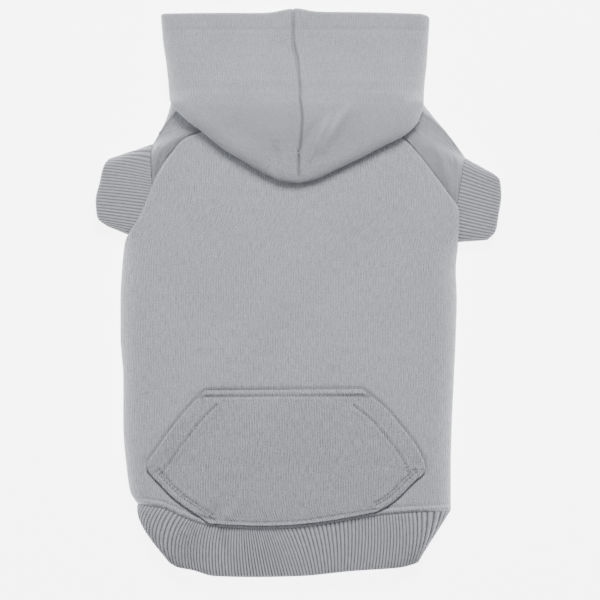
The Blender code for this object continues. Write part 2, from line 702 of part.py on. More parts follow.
def build_pocket(material):
    """Pouch pocket laid on the back, loose in the middle and open at its slanted sides."""
    steps = 2
    last = (len(POCKET_ROWS) - 1) * steps
    rows = []
    for j in range(last, -1, -1):
        lx, ld, rx, rd, loose = between(POCKET_ROWS, j / steps)
        left = np.array([POCKET_AXIS + lx * POCKET_WIDTH / 2, -POCKET_DOWN - ld * POCKET_DROP])
        right = np.array([POCKET_AXIS + rx * POCKET_WIDTH / 2, -POCKET_DOWN - rd * POCKET_DROP])
        v = j / last
        row = []
        for u in eased(15, 0.3):
            p = left + (right - left) * u
            p[1] -= POCKET_SAG * POCKET_DROP * math.sin(math.pi * u) * v**3
            sewn = min(1.0, 8 * u, 8 * (1 - u)) if j / steps > OPEN_TO else 0.55 + 0.45 * math.sin(math.pi * u)
            lift = POCKET_LIFT * loose * sewn
            row.append((p[0], p[1], back_height(p[0], p[1]) + SEAM_GAP + CLOTH + lift))
        rows.append(row)
    return sheet("pouch_pocket", rows, CLOTH, material)


def main():
    for obj in list(bpy.data.objects):
        bpy.data.objects.remove(obj, do_unlink=True)
    jersey = fabric("fleece_jersey", (0.40, 0.405, 0.42), 0.95)
    knit = fabric("rib_knit", (0.33, 0.335, 0.35), 0.95)
    made = [
        build_back(jersey),
        build_belly(jersey),
        build_sleeve("sleeve_left", -1, jersey),
        build_sleeve("sleeve_right", 1, jersey),
        build_cuff("cuff_left", -1, knit),
        build_cuff("cuff_right", 1, knit),
        build_band(knit),
        build_hood("hood_left", -1, jersey),
        build_hood("hood_right", 1, jersey),
        build_pocket(jersey),
    ]
    corners = np.array([v.co for obj in made for v in obj.data.vertices])
    low, high = corners.min(0), corners.max(0)
    shift = ((low[0] + high[0]) / 2, (low[1] + high[1]) / 2, low[2])
    for obj in made:
        for v in obj.data.vertices:
            v.co -= type(v.co)(shift)


main()
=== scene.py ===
"""The visual model of a small dog's grey fleece hoodie, laid flat on its belly, hood at the top.

Every cloth piece is a closed shell: its outer face is drawn from the same sizes and tables as
the part, only finer, with the soft dents, seams and ribs added, and its inner face lies one
cloth thickness inside it. Stitches are made by Geometry Nodes along lines on that cloth.
"""

import math

import bpy
import numpy as np
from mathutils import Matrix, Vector


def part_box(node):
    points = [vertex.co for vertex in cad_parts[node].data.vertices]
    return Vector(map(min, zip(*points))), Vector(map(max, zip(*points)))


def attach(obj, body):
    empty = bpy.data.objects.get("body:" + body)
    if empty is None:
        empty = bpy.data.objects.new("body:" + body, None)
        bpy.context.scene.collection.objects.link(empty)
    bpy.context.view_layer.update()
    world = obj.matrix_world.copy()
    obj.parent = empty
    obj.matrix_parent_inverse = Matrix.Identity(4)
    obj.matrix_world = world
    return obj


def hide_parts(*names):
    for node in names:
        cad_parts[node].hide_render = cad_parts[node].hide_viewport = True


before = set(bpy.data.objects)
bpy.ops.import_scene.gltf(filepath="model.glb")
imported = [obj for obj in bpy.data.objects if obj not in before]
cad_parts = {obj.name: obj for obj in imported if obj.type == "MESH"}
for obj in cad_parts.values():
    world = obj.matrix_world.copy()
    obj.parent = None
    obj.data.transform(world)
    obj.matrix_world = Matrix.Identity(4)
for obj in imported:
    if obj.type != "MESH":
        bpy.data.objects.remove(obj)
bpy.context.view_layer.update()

# Sizes shared with the part, in metres.
BODY_LENGTH = 0.2654
BODY_WIDTH = 0.208
LOFT = 0.015
DOME = 0.003
CLOTH = 0.002
RIB = 0.0023
NAPE_GAP = 0.0007
SIDE_TURN = 0.0055
BAND_DEPTH = 0.0292
BAND_LOFT = 0.0135
CUFF_LOFT = 0.0105
HOOD_WIDTH = 0.1625
HOOD_REACH = 0.0539
HOOD_DROP = 0.0515
HOOD_LIFT = 0.0095
HOOD_FOLD = 0.0040
MOUTH_LOFT = 0.0100
MOUTH_PEAK = 0.0028
POCKET_WIDTH = 0.1724
POCKET_DROP = 0.0843
POCKET_DOWN = 0.1798
POCKET_AXIS = -0.0074
POCKET_LIFT = 0.0022
HALF = BODY_WIDTH / 2

# Gaps at the seams, finer than the part's.
SEAM_GAP = 0.00008
RAGLAN_GAP = 0.0001
HEM_GAP = 0.0001
CUFF_GAP = 0.0002
HOOD_SEAM = 0.000006

# Sizes of the knit and the sewing, in metres.
KNIT_RIB = 0.00193  # one rib of the hem band and the cuffs
KNIT_RIB_HIGH = 0.00105
CUFF_RIB_HIGH = 0.00046
WALE = 0.00155  # one column of jersey stitches
COURSE = 0.00115  # one row of them
RIB_COURSE = 0.0013  # one row of the rib knit's stitches
TOP_STITCH = 0.0024
COVER_STITCH = 0.0021
THREAD = 0.00030
THREAD_SINK = 0.00040
TOP_STITCH_LONG = 0.0019  # length of one stitch's thread that shows
COVER_STITCH_LONG = 0.0017
POCKET_HEM = 0.0112  # turned hem at the pocket's two openings
POCKET_EDGE = 0.0037  # stitching inside the pocket's sewn edges
POCKET_TWIN = 0.0019  # between the two rows of stitching at its lower corners
SIDE_EASE = 0.0009  # how far the loose cloth at the sides rounds out past the part
UNDER_BACK = 0.0006  # how far the raglan edge stays below the back beside it
LEAST_ROLL = 0.0025  # the narrowest that an edge rolls over

# Ridges and dents beside a line: distance from the line, width, height.
HEM_SEAM_DIP = (0.0, 0.0009, -0.0013)
HEM_WELT = (0.0022, 0.0010, 0.0005)
HEM_STITCH_DIP = (0.0042, 0.0008, -0.0005)
RAGLAN_DIP = (0.0, 0.0007, -0.0008)
POCKET_FOOT = (0.0, 0.0012, -0.0017)
POCKET_STITCH_DIP = (0.0, 0.0008, -0.00075)
POCKET_STITCH_ROLL = (0.0020, 0.0009, 0.00025)
HOOD_SEAM_ROLL = (0.0022, 0.0011, 0.0003)
MOUTH_STITCH_DIP = (0.0118, 0.0011, -0.00035)
# The same round a sleeve, with places and widths as shares of the way to the cuff.
SLEEVE_RINGS = [
    (0.0, 0.018, -0.0016), (1.0, 0.030, -0.0012), (0.91, 0.030, 0.0007), (0.84, 0.025, -0.0005),
]
# How seams pull: pitch and strength of each wave along them.
HEM_PULLS = [(0.0068, 0.35), (0.0113, 0.25)]
POCKET_PULLS = [(TOP_STITCH, 0.5), (0.0074, 0.2)]
# Edges that round over: width and depth, for the band and cuffs with the width as a share.
MOUTH_EDGE = (0.0016, 0.0010)
POCKET_RIM = (0.0011, 0.0010)
BAND_END = (0.07, 0.0011)
CUFF_END = (0.08, 0.0009)

# Side edge of the back from the hem up: left across, down, height, right across, down, height.
BACK_EDGES = [
    (-0.954, 0.944, 0.43, 0.906, 0.960, 0.43),
    (-0.996, 0.916, 0.43, 0.906, 0.911, 0.43),
    (-1.020, 0.853, 0.43, 0.906, 0.853, 0.43),
    (-1.038, 0.759, 0.43, 0.912, 0.759, 0.43),
    (-1.038, 0.654, 0.43, 0.924, 0.654, 0.43),
    (-1.055, 0.549, 0.43, 0.936, 0.549, 0.43),
    (-1.055, 0.467, 0.43, 0.942, 0.467, 0.43),
    (-1.044, 0.386, 0.43, 0.936, 0.397, 0.43),
    (-1.026, 0.329, 0.52, 0.948, 0.343, 0.52),
    (-1.002, 0.306, 0.84, 0.954, 0.322, 0.84),
    (-0.948, 0.273, 0.90, 0.960, 0.294, 0.90),
    (-0.894, 0.222, 0.90, 0.960, 0.259, 0.90),
    (-0.841, 0.173, 0.92, 0.900, 0.220, 0.93),
    (-0.757, 0.123, 0.95, 0.817, 0.175, 0.95),
    (-0.680, 0.090, 0.96, 0.710, 0.121, 0.96),
    (-0.549, 0.068, 0.96, 0.596, 0.077, 0.96),
    (-0.453, 0.035, 0.96, 0.489, 0.037, 0.96),
    (-0.370, 0.000, 0.96, 0.382, 0.000, 0.96),
]
ARMPIT = 8
LAP = 12
HEM_SAG = [
    (0.00, 0.000), (0.08, 0.008), (0.14, 0.026), (0.23, 0.046), (0.37, 0.052), (0.52, 0.046),
    (0.62, 0.034), (0.78, 0.013), (0.90, 0.004), (1.00, 0.000),
]
SAG_FADE = [(0.0, 1.0), (1.0, 0.75), (2.0, 0.4), (3.0, 0.12), (4.0, 0.0), (17.0, 0.0)]
BELLY_HEM = [
    (-0.878, 0.950), (-0.862, 0.875), (-0.785, 0.771), (-0.584, 0.689), (-0.286, 0.636),
    (-0.024, 0.619), (0.240, 0.636), (0.530, 0.689), (0.735, 0.771), (0.818, 0.875),
    (0.832, 0.966),
]
BAND_TOP_EDGE = [
    (-0.775, 0.702), (-0.720, 0.790), (-0.632, 0.851), (-0.495, 0.979), (-0.268, 1.000),
    (0.006, 0.979), (0.322, 0.872), (0.600, 0.800), (0.722, 0.702),
]
BAND_BELLY_EDGE = [
    (-0.775, 0.702), (-0.680, -0.170), (-0.590, -1.021), (-0.420, -1.900), (-0.220, -2.380),
    (-0.024, -2.500), (0.180, -2.380), (0.370, -1.900), (0.540, -1.021), (0.632, -0.170),
    (0.722, 0.702),
]
BAND_BOWS = (0.30, 0.03)  # how far the band bows out at its left and right fold
BAND_LIFTS = 0.004  # height at which the bow is full; none on the floor
BAND_SWELL = 0.0009
BAND_WAVE = (0.0005, 0.0105, 0.7, 0.031)  # height, first length, its phase, second length
BAND_SPRING = 0.0014  # how far its free edge hangs past the part's
CUFF_SPRING = 0.0008  # the same for the cuffs
CUFF_SWELL = 0.0005
CUFF_LONG = 0.032
# Armhole, front raglan, neck, cuff seam and cuff end, left and right.
ARMHOLES = (
    [(-0.938, 0.318, 0.33), (-0.894, 0.290, 0.68), (-0.841, 0.234, 0.70),
     (-0.800, 0.185, 0.70), (-0.795, 0.160, 0.72)],
    [(0.894, 0.334, 0.33), (0.888, 0.308, 0.68), (0.888, 0.271, 0.70),
     (0.880, 0.238, 0.70), (0.868, 0.213, 0.72)],
)
FRONT_RAGLANS = (
    [(-0.938, 0.318), (-0.775, 0.210), (-0.600, 0.095), (-0.430, -0.011)],
    [(0.894, 0.334), (0.760, 0.225), (0.600, 0.100), (0.440, -0.011)],
)
NECK_SIDES = ((-0.764, 0.007, 0.45), (0.748, 0.007, 0.45))
NECK_FRONT_DOWN = -0.0130
# Height of the sleeve's edge where it comes out of the lap: rows past the lap, height.
RAGLAN_RISE = [(0.6, 0.80), (1.2, 0.88), (1.9, 0.955)]
SHOULDER_BOWS = (-0.012, 0.0)
CUFF_SEAMS = (
    [(-0.985, 0.320), (-0.906, 0.264), (-0.871, 0.210), (-0.877, 0.168), (-0.880, 0.130),
     (-0.868, 0.100)],
    [(0.936, 0.333), (0.930, 0.292), (0.948, 0.245), (0.969, 0.199), (0.984, 0.159),
     (1.001, 0.133)],
)
CUFF_ENDS = (
    [(-1.135, 0.296), (-1.193, 0.273), (-1.203, 0.234), (-1.181, 0.194), (-1.157, 0.154),
     (-1.127, 0.134)],
    [(1.127, 0.327), (1.175, 0.304), (1.193, 0.264), (1.208, 0.222), (1.199, 0.185),
     (1.157, 0.167)],
)
SLEEVE_TOP_MATCH = [(0.0, 0.0), (0.30, 0.50), (0.45, 0.76), (0.62, 0.90), (0.80, 0.975), (1.0, 1.0)]
SLEEVE_UNDER_MATCH = [(0.0, 0.0), (0.12, 0.02), (0.38, 0.10), (0.70, 0.50), (1.0, 1.0)]

# Hood rows from the mouth to the hanging point: across and ahead in the middle, at the left
# and at the right.
HOOD_ROWS = [
    (-0.038, 1.000, -1.034, 0.977, 0.992, 0.943),
    (-0.038, 0.690, -1.023, 0.690, 0.985, 0.667),
    (-0.008, 0.437, -1.000, 0.414, 0.975, 0.391),
    (0.008, 0.230, -0.988, 0.207, 0.964, 0.207),
    (0.015, 0.075, -0.983, 0.075, 0.960, 0.075),
    (0.015, 0.030, -0.980, 0.024, 0.959, 0.024),
    (0.015, -0.012, -0.966, -0.048, 0.956, -0.048),
    (0.027, -0.145, -0.870, -0.217, 0.917, -0.253),
    (0.031, -0.265, -0.725, -0.392, 0.817, -0.422),
    (0.027, -0.373, -0.573, -0.590, 0.649, -0.560),
    (0.023, -0.470, -0.405, -0.753, 0.473, -0.705),
    (0.019, -0.542, -0.237, -0.904, 0.290, -0.843),
    (0.015, -0.590, -0.115, -0.982, 0.122, -0.964),
    (0.004, -0.620, 0.004, -1.004, 0.004, -1.004),
]
# Their heights: top, fold, how far the lower layer lies on the back, share of it that is there.
HOOD_HEIGHTS = [
    (0.00, 0.50, 0.0, 0.055),
    (0.16, 0.44, 0.0, 0.330),
    (0.42, 0.42, 0.0, 0.600),
    (0.66, 0.42, 0.0, 0.830),
    (0.80, 0.42, 0.0, 0.985),
    (0.86, 0.62, 0.5, 0.985),
] + [(top, 0.0, 1.0, 1.0) for top in (0.90, 0.97, 1.0, 1.0, 0.98, 0.95, 0.90, 0.86)]
THROAT_ROW = 4
NAPE_ROW = 6
# Pocket rows from the top: left across, down, right across, down, how loose the row lies.
POCKET_ROWS = [
    (-0.576, 0.000, 0.547, -0.007, 0.0),
    (-0.691, 0.118, 0.698, 0.118, 0.8),
    (-0.820, 0.279, 0.835, 0.279, 1.0),
    (-0.928, 0.434, 0.950, 0.441, 1.0),
    (-1.000, 0.559, 1.000, 0.577, 0.7),
    (-0.906, 0.691, 0.899, 0.691, 0.6),
    (-0.799, 0.801, 0.799, 0.794, 0.5),
    (-0.669, 0.894, 0.705, 0.865, 0.3),
    (-0.554, 0.976, 0.655, 0.890, 0.0),
]
POCKET_SAG = 0.052
OPEN_TO = 4

# How the knitted ribs of the band run from the hem seam to the free edge: share of the top of
# the seam, share of the top of the free edge. Past 0 and 1 they run over the side folds.
BAND_RIBS = [
    (0.000, -0.150), (0.129, 0.000), (0.194, 0.062), (0.242, 0.143), (0.339, 0.290),
    (0.387, 0.382), (0.468, 0.521), (0.581, 0.635), (0.677, 0.728), (0.768, 0.849),
    (0.829, 0.929), (0.881, 0.975), (0.925, 1.000), (1.000, 1.070),
]
# The same for the cuffs, from the underarm over the upper side to the shoulder.
CUFF_RIBS = (
    [(0.0, 0.0), (0.45, 0.52), (0.80, 0.98), (1.0, 1.10)],
    [(0.0, -0.05), (0.25, 0.18), (0.55, 0.50), (1.0, 0.92)],
)

# Soft dents and folds of the body's top layer: both ends in shares of BODY_WIDTH across and
# of BODY_LENGTH down, then width and height in metres.
BODY_FOLDS = [
    (-0.290, 0.9690, -0.238, 0.9905, 0.0013, -0.0016),
    (-0.400, 0.200, -0.300, 0.330, 0.010, -0.0009),
    (-0.430, 0.420, -0.250, 0.520, 0.014, -0.0006),
    (0.380, 0.300, 0.250, 0.420, 0.014, -0.0006),
    (-0.330, 0.660, -0.120, 0.600, 0.016, 0.0005),
    (0.330, 0.640, 0.150, 0.600, 0.016, 0.0005),
    (-0.250, 0.990, -0.245, 0.940, 0.0035, -0.0022),
    (-0.215, 1.000, -0.200, 0.950, 0.004, 0.0010),
    (-0.440, 0.930, -0.380, 0.800, 0.012, -0.0008),
]
SLEEVE_FOLDS = [
    (-0.405, 0.118, -0.426, 0.182, 0.0011, -0.0020),
    (-0.418, 0.110, -0.434, 0.170, 0.0010, 0.0009),
    (-0.400, 0.080, -0.340, 0.060, 0.0050, 0.0006),
    (0.410, 0.110, 0.460, 0.200, 0.0030, 0.0007),
    (0.470, 0.190, 0.475, 0.300, 0.0016, 0.0008),
]
# Waves of the cloth: length across, length down, phase, height.
DRIFT = [
    (0.110, 0.160, 0.4, 0.00040),
    (-0.071, 0.093, 1.9, 0.00026),
    (0.053, -0.064, 3.1, 0.00018),
    (0.038, 0.120, 5.2, 0.00012),
]
# Folds of the hood: ends in shares of HOOD_WIDTH, width, height.
HOOD_FOLDS = [
    (0.046, -0.230, 0.115, -0.080, 0.0023, 0.0026),
    (0.085, -0.200, 0.185, -0.040, 0.0030, 0.0027),
    (0.020, -0.180, 0.090, -0.060, 0.0028, -0.0012),
    (-0.085, -0.175, -0.095, -0.280, 0.0030, -0.0026),
    (-0.300, -0.090, -0.160, -0.150, 0.0090, -0.0006),
    (0.300, 0.080, 0.120, 0.160, 0.0120, -0.0005),
]

POCKET_BOX = [Vector(c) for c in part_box("pouch_pocket")]
SHIFT = np.array([
    (POCKET_BOX[0].x + POCKET_BOX[1].x) / 2 - POCKET_AXIS,
    POCKET_BOX[1].y + POCKET_DOWN + POCKET_ROWS[0][3] * POCKET_DROP,
    0.0,
])


# Plain maths.

def hermite(x, y, at):
    """Monotone cubic through the points (x, y)."""
    x, y, at = np.asarray(x, float), np.asarray(y, float), np.asarray(at, float)
    step = np.diff(x)
    slope = np.diff(y) / step
    m = np.zeros(len(x))
    same = slope[:-1] * slope[1:] > 0
    a, b = slope[:-1][same], slope[1:][same]
    m[1:-1][same] = 2 * a * b / (a + b)
    m[0], m[-1] = slope[0], slope[-1]
    i = np.clip(np.searchsorted(x, at, side="right") - 1, 0, len(x) - 2)
    t = (at - x[i]) / step[i]
    return (
        y[i] * (1 + 2 * t) * (1 - t) ** 2
        + m[i] * step[i] * t * (1 - t) ** 2
        + y[i + 1] * t * t * (3 - 2 * t)
        + m[i + 1] * step[i] * t * t * (t - 1)
    )


def smooth(table, at):
    """The second column of a table at given places in its first column."""
    table = np.array(table, float)
    return hermite(table[:, 0], table[:, 1], at)


def between(rows, at):
    """All columns of a table of rows at a fractional row number."""
    table = np.array(rows, float)
    n = np.arange(len(table), dtype=float)
    return [float(hermite(n, table[:, k], [at])[0]) for k in range(table.shape[1])]


def lengths(line):
    """How far along a line each of its points is."""
    steps = np.linalg.norm(np.diff(np.array(line, float), axis=0), axis=1)
    return np.concatenate([[0], np.cumsum(steps)])


def along(points, spots):
    """Points of a line at given shares of its length."""
    p = np.array(points, float)
    run = lengths(p)
    s = np.asarray(spots) * run[-1]
    return np.stack([np.interp(s, run, p[:, k]) for k in range(p.shape[1])], 1)


def curve(points, count):
    """A smooth line through a few points, spaced evenly."""
    p = np.array(points, float)
    run = lengths(p)
    s = np.linspace(0, run[-1], count)
    return np.stack([hermite(run, p[:, k], s) for k in range(p.shape[1])], 1)


def aside(line, distance):
    """A line in plan moved to the left of its own direction."""
    p = np.array(line, float)[:, :2]
    way = np.gradient(p, axis=0)
    way /= np.linalg.norm(way, axis=1)[:, None]
    return p + np.column_stack([-way[:, 1], way[:, 0]]) * distance


def rounded(points, passes, closed=False):
    """A line with its corners eased."""
    p = np.array(points, float)
    for _ in range(passes):
        if closed:
            p = (np.roll(p, 1, 0) + 2 * p + np.roll(p, -1, 0)) / 4
        else:
            p[1:-1] = (p[:-2] + 2 * p[1:-1] + p[2:]) / 4
    return p


def place(across, down):
    """Plan position from shares of the body's sizes; the neckline's line is y = 0."""
    return across * HALF, -down * BODY_LENGTH


def placed(points, count):
    """A smooth line in plan through points given as shares of the body's sizes."""
    return np.array([place(*p) for p in curve(points, count)])


def near(x, y, line):
    """Distance of every plan point to a line, and the place on it as a run in metres."""
    line = np.array(line, float)[:, :2]
    best = np.full(np.shape(x), 9.0)
    run = np.zeros(np.shape(x))
    start = 0.0
    for a, b in zip(line[:-1], line[1:]):
        way = b - a
        size = float(np.linalg.norm(way))
        t = np.clip(((x - a[0]) * way[0] + (y - a[1]) * way[1]) / size**2, 0, 1)
        d = np.hypot(x - a[0] - way[0] * t, y - a[1] - way[1] * t)
        closer = d < best
        best = np.where(closer, d, best)
        run = np.where(closer, start + t * size, run)
        start += size
    return best, run


def ridge(d, at, width, height):
    """A ridge, or a dent where the height is below 0, at a distance from a line."""
    return height * np.exp(-(((d - at) / width) ** 2))


def pulls(run, table):
    """How strongly the stitches pull along a seam, about 1."""
    return 1 + sum(strength * np.sin(2 * math.pi * run / pitch) for pitch, strength in table)


def folds(x, y, table, wide, long):
    """Soft ridges and dents, each between two plan points and fading towards both."""
    z = 0.0
    for ax, ay, bx, by, width, height in table:
        a = np.array((ax * wide, ay * long))
        way = (bx * wide, by * long) - a
        t = np.clip(((x - a[0]) * way[0] + (y - a[1]) * way[1]) / np.dot(way, way), 0, 1)
        d = np.hypot(x - a[0] - way[0] * t, y - a[1] - way[1] * t)
        z = z + ridge(d, 0, width, height) * np.sin(math.pi * (0.12 + 0.76 * t))
    return z


def roll(d, width):
    """Rise of a rounded edge at distance d from it: 0 at the edge, 1 past its width."""
    share = np.clip(np.asarray(d, float) / width, 0, 1)
    return np.sqrt(np.maximum(0.0, 1 - (1 - share) ** 2))


def rounding(d, width, depth):
    """How far an edge that rounds over sinks at distance d from it."""
    return -depth * (1 - roll(d, width))


def roll_width(rise):
    return max(LEAST_ROLL, 1.6 * rise)


def drift(x, y):
    """The slow waves of loose cloth."""
    z = 0.0
    for across, down, phase, height in DRIFT:
        z = z + height * np.sin(2 * math.pi * (x / across + y / down) + phase)
    return z


def back_height(x, y):
    """Height of the body's top layer away from its edges."""
    s = np.clip(-y / BODY_LENGTH, 0.0, 1.0)
    c = np.clip(np.abs(x) / HALF, 0.0, 1.0)
    z = LOFT + DOME * (1 - c * c) * np.sin(math.pi * s) ** 0.8 + drift(x, y)
    return z + folds(x, y, BODY_FOLDS, BODY_WIDTH, -BODY_LENGTH)


# Cloth shells.

SHARP_FROM = math.radians(62)


def shown(name, data):
    """A new object of the scene."""
    obj = bpy.data.objects.new(name, data)
    bpy.context.scene.collection.objects.link(obj)
    return obj


def shell(name, outer, thick, materials, cells=None, closed=False, knit=None, relief=None):
    """A closed shell: the outer face from a grid, the inner face one thickness inside it.

    Relief stands on the outer face alone. The first material is the outer face's and the
    second the inner face's. The UV map holds metres of cloth: across the knitted columns, then
    along them.
    """
    outer = np.array(outer, float) + SHIFT
    rows, cols = outer.shape[:2]
    number = np.arange(rows * cols).reshape(rows, cols)
    beside = np.roll(number, -1, 1)
    span = cols if closed else cols - 1
    quads = np.stack(
        [number[:-1, :span], beside[:-1, :span], beside[1:, :span], number[1:, :span]], -1
    )
    quads = quads.reshape(-1, 4) if cells is None else quads[cells]
    flat = outer.reshape(-1, 3)
    n = np.cross(flat[quads[:, 2]] - flat[quads[:, 0]], flat[quads[:, 3]] - flat[quads[:, 1]])
    n /= np.maximum(np.linalg.norm(n, axis=1), 1e-15)[:, None]
    normal = np.zeros_like(flat)
    for k in range(4):
        np.add.at(normal, quads[:, k], n)
    normal /= np.maximum(np.linalg.norm(normal, axis=1), 1e-9)[:, None]
    a = quads.reshape(-1)
    b = np.roll(quads, -1, 1).reshape(-1)
    total = rows * cols
    rim = ~np.isin(a * total + b, b * total + a)
    a, b = a[rim], b[rim]
    ends = np.unique(np.concatenate([a, b]))
    steep = ends[np.abs(normal[ends, 2]) > 0.5]
    normal[steep] = np.column_stack([np.zeros((len(steep), 2)), np.sign(normal[steep, 2])])
    used = np.unique(quads)
    new = np.zeros(total, int)
    new[used] = np.arange(len(used))
    count = len(used)
    inner = flat[used] - normal[used] * thick
    if relief is not None:
        flat = flat + normal * np.asarray(relief).reshape(-1, 1)
    faces = np.vstack([
        new[quads],
        new[quads[:, ::-1]] + count,
        np.column_stack([new[b], new[a], new[a] + count, new[b] + count]),
    ])
    mesh = bpy.data.meshes.new(name)
    mesh.from_pydata(np.vstack([flat[used], inner]).tolist(), [], faces.tolist())
    if knit is None:
        across = np.linalg.norm(np.diff(outer, axis=1), axis=2)
        across = np.cumsum(np.column_stack([np.zeros(rows), across]), axis=1)
        across -= across[:, cols // 2][:, None]
        down = lengths(outer[:, cols // 2])
        knit = np.stack([across, np.repeat(down[:, None], cols, 1)], -1)
    spots = np.asarray(knit, float).reshape(-1, 2)[used]
    spots = np.vstack([spots, spots])
    corners = np.zeros(len(mesh.loops), int)
    mesh.loops.foreach_get("vertex_index", corners)
    uv = mesh.uv_layers.new(name="cloth").data
    uv.foreach_set("uv", spots[corners].astype(np.float32).ravel())
    for material in materials:
        mesh.materials.append(material)
    inside = np.zeros(len(faces), np.int32)
    inside[len(quads) : 2 * len(quads)] = len(materials) - 1
    mesh.polygons.foreach_set("material_index", inside)
    mesh.shade_smooth()
    mesh.set_sharp_from_angle(angle=SHARP_FROM)
    return shown(name, mesh)


# Shader sockets with arithmetic.

class Value:
    """A socket of a shader tree that takes part in Python arithmetic."""

    def __init__(self, tree, socket):
        self.tree = tree
        self.socket = socket

    def maths(self, operation, *values, clamp=False):
        settings = {"operation": operation, "use_clamp": clamp}
        return self.tree.node("ShaderNodeMath", settings, dict(enumerate(values)))

    def __add__(self, other):
        return self.maths("ADD", self, other)

    def __sub__(self, other):
        return self.maths("SUBTRACT", self, other)

    def __mul__(self, other):
        return self.maths("MULTIPLY", self, other)

    def wave(self, pitch):
        """A sine of one turn per pitch, from -1 to 1."""
        return self.maths("SINE", self * (2 * math.pi / pitch))

    def folded(self):
        return self.maths("ABSOLUTE", self)

    def limited(self):
        """The value kept between 0 and 1."""
        return self.maths("ADD", self, 0.0, clamp=True)


class Finish:
    """One material and its nodes."""

    def __init__(self, name, **settings):
        self.material = bpy.data.materials.new(name)
        self.material.use_nodes = True
        self.nodes = self.material.node_tree.nodes
        self.links = self.material.node_tree.links
        self.shader = self.nodes["Principled BSDF"]
        for socket, value in settings.items():
            self.shader.inputs[socket.replace("_", " ")].default_value = value

    def node(self, kind, settings, sockets, out=0):
        node = self.nodes.new(kind)
        for key, value in settings.items():
            setattr(node, key, value)
        for key, value in sockets.items():
            if isinstance(value, Value):
                self.links.new(value.socket, node.inputs[key])
            else:
                node.inputs[key].default_value = value
        return Value(self, node.outputs[out])

    def cloth(self):
        """The cloth's UV map: both coordinates, the one across and the one along the columns."""
        uv = self.node("ShaderNodeTexCoord", {}, {}, out=2)
        across = self.node("ShaderNodeSeparateXYZ", {}, {"Vector": uv})
        return uv, across, Value(self, across.socket.node.outputs[1])

    def noise(self, vector, scale, detail, rough, squeeze=1.0):
        """Noise from 0 to 1. A squeeze below 1 draws it out along the columns."""
        if squeeze != 1.0:
            sockets = {0: vector, 1: (1.0, squeeze, 1.0)}
            vector = self.node("ShaderNodeVectorMath", {"operation": "MULTIPLY"}, sockets)
        sockets = {"Vector": vector, "Scale": scale, "Detail": detail, "Roughness": rough}
        return self.node("ShaderNodeTexNoise", {}, sockets)

    def colour(self, share, dark, light):
        sockets = {0: share.limited(), 6: grey(dark), 7: grey(light)}
        mixed = self.node("ShaderNodeMix", {"data_type": "RGBA"}, sockets, out=2)
        self.links.new(mixed.socket, self.shader.inputs["Base Color"])

    def bump(self, height, distance, strength):
        sockets = {"Height": height, "Distance": distance, "Strength": strength}
        bumped = self.node("ShaderNodeBump", {}, sockets)
        self.links.new(bumped.socket, self.shader.inputs["Normal"])


def grey(level):
    """A heather grey, cooler than neutral."""
    return (level * 0.965, level * 0.985, level * 1.07, 1)


def jersey(name, light, dark, knit_depth, heather, columns):
    """Heather jersey: fine light and dark fibres, knitted columns, soft nap."""
    f = Finish(
        name, Roughness=0.92, Sheen_Weight=0.18, Sheen_Roughness=0.6, Specular_IOR_Level=0.18
    )
    uv, across, down = f.cloth()
    fibres = f.noise(uv, 2300, 2.0, 0.65, 0.40) - 0.5
    streaks = f.noise(uv, 1150, 2.0, 0.6, 0.16) - 0.5
    tufts = f.noise(uv, 1300, 2.0, 0.6, 0.8) - 0.5
    clouds = f.noise(uv, 60, 3.0, 0.6)
    column = across.wave(WALE)
    course = (down + column.folded() * (COURSE * 0.55)).wave(COURSE)
    clear = (clouds * 2.4 - 0.7).limited() * columns
    shade = fibres * 1.3 + 0.5 + tufts * heather + streaks * heather + (clouds - 0.5) * 0.2
    f.colour(shade + column * (clear * 0.15 + 0.02), dark, light)
    relief = column * (clear * 0.8 + 0.18) + course * 0.25 + fibres * 1.2 + (tufts + streaks) * 0.9
    f.bump(relief, knit_depth, 0.8)
    return f.material


def rib_knit(name, light, dark):
    """Rib knit: the ribs are modelled; the stitches on them, and painted shade in the grooves
    between them, are here.
    """
    f = Finish(
        name, Roughness=0.94, Sheen_Weight=0.15, Sheen_Roughness=0.6, Specular_IOR_Level=0.18
    )
    uv, across, down = f.cloth()
    fibres = f.noise(uv, 2300, 2.0, 0.65) - 0.5
    tufts = f.noise(uv, 800, 2.0, 0.5, 0.3) - 0.5
    crest = across.wave(KNIT_RIB * 2).folded()
    course = (down + crest * 0.0005).wave(RIB_COURSE)
    # Lighter on the crests, darker in the grooves: partly the purl stitches' own darker look,
    # partly painted shade where the grooves lie in shadow.
    f.colour(fibres * 1.1 + tufts * 0.4 + crest * 0.75, dark, light)
    f.bump(course * 0.35 + fibres * 1.2, 0.00014, 0.7)
    return f.material


def brushed_fleece(name, level):
    """The brushed inside: a short soft nap in clumps."""
    f = Finish(
        name, Roughness=0.97, Sheen_Weight=0.35, Sheen_Roughness=0.7, Specular_IOR_Level=0.1
    )
    uv = f.cloth()[0]
    clumps = f.noise(uv, 420, 3.0, 0.65)
    nap = f.noise(uv, 1900, 2.0, 0.6, 0.6)
    f.colour(clumps * 0.6 + nap * 0.4, level * 0.72, level * 1.12)
    f.bump(clumps * 0.7 + nap * 0.3, 0.0005, 0.7)
    return f.material


def thread(name, level):
    f = Finish(name, Roughness=0.7, Sheen_Weight=0.1)
    spot = f.node("ShaderNodeTexCoord", {}, {}, out=3)
    f.colour(f.noise(spot, 1500, 2.0, 0.5), level * 0.8, level * 1.15)
    return f.material


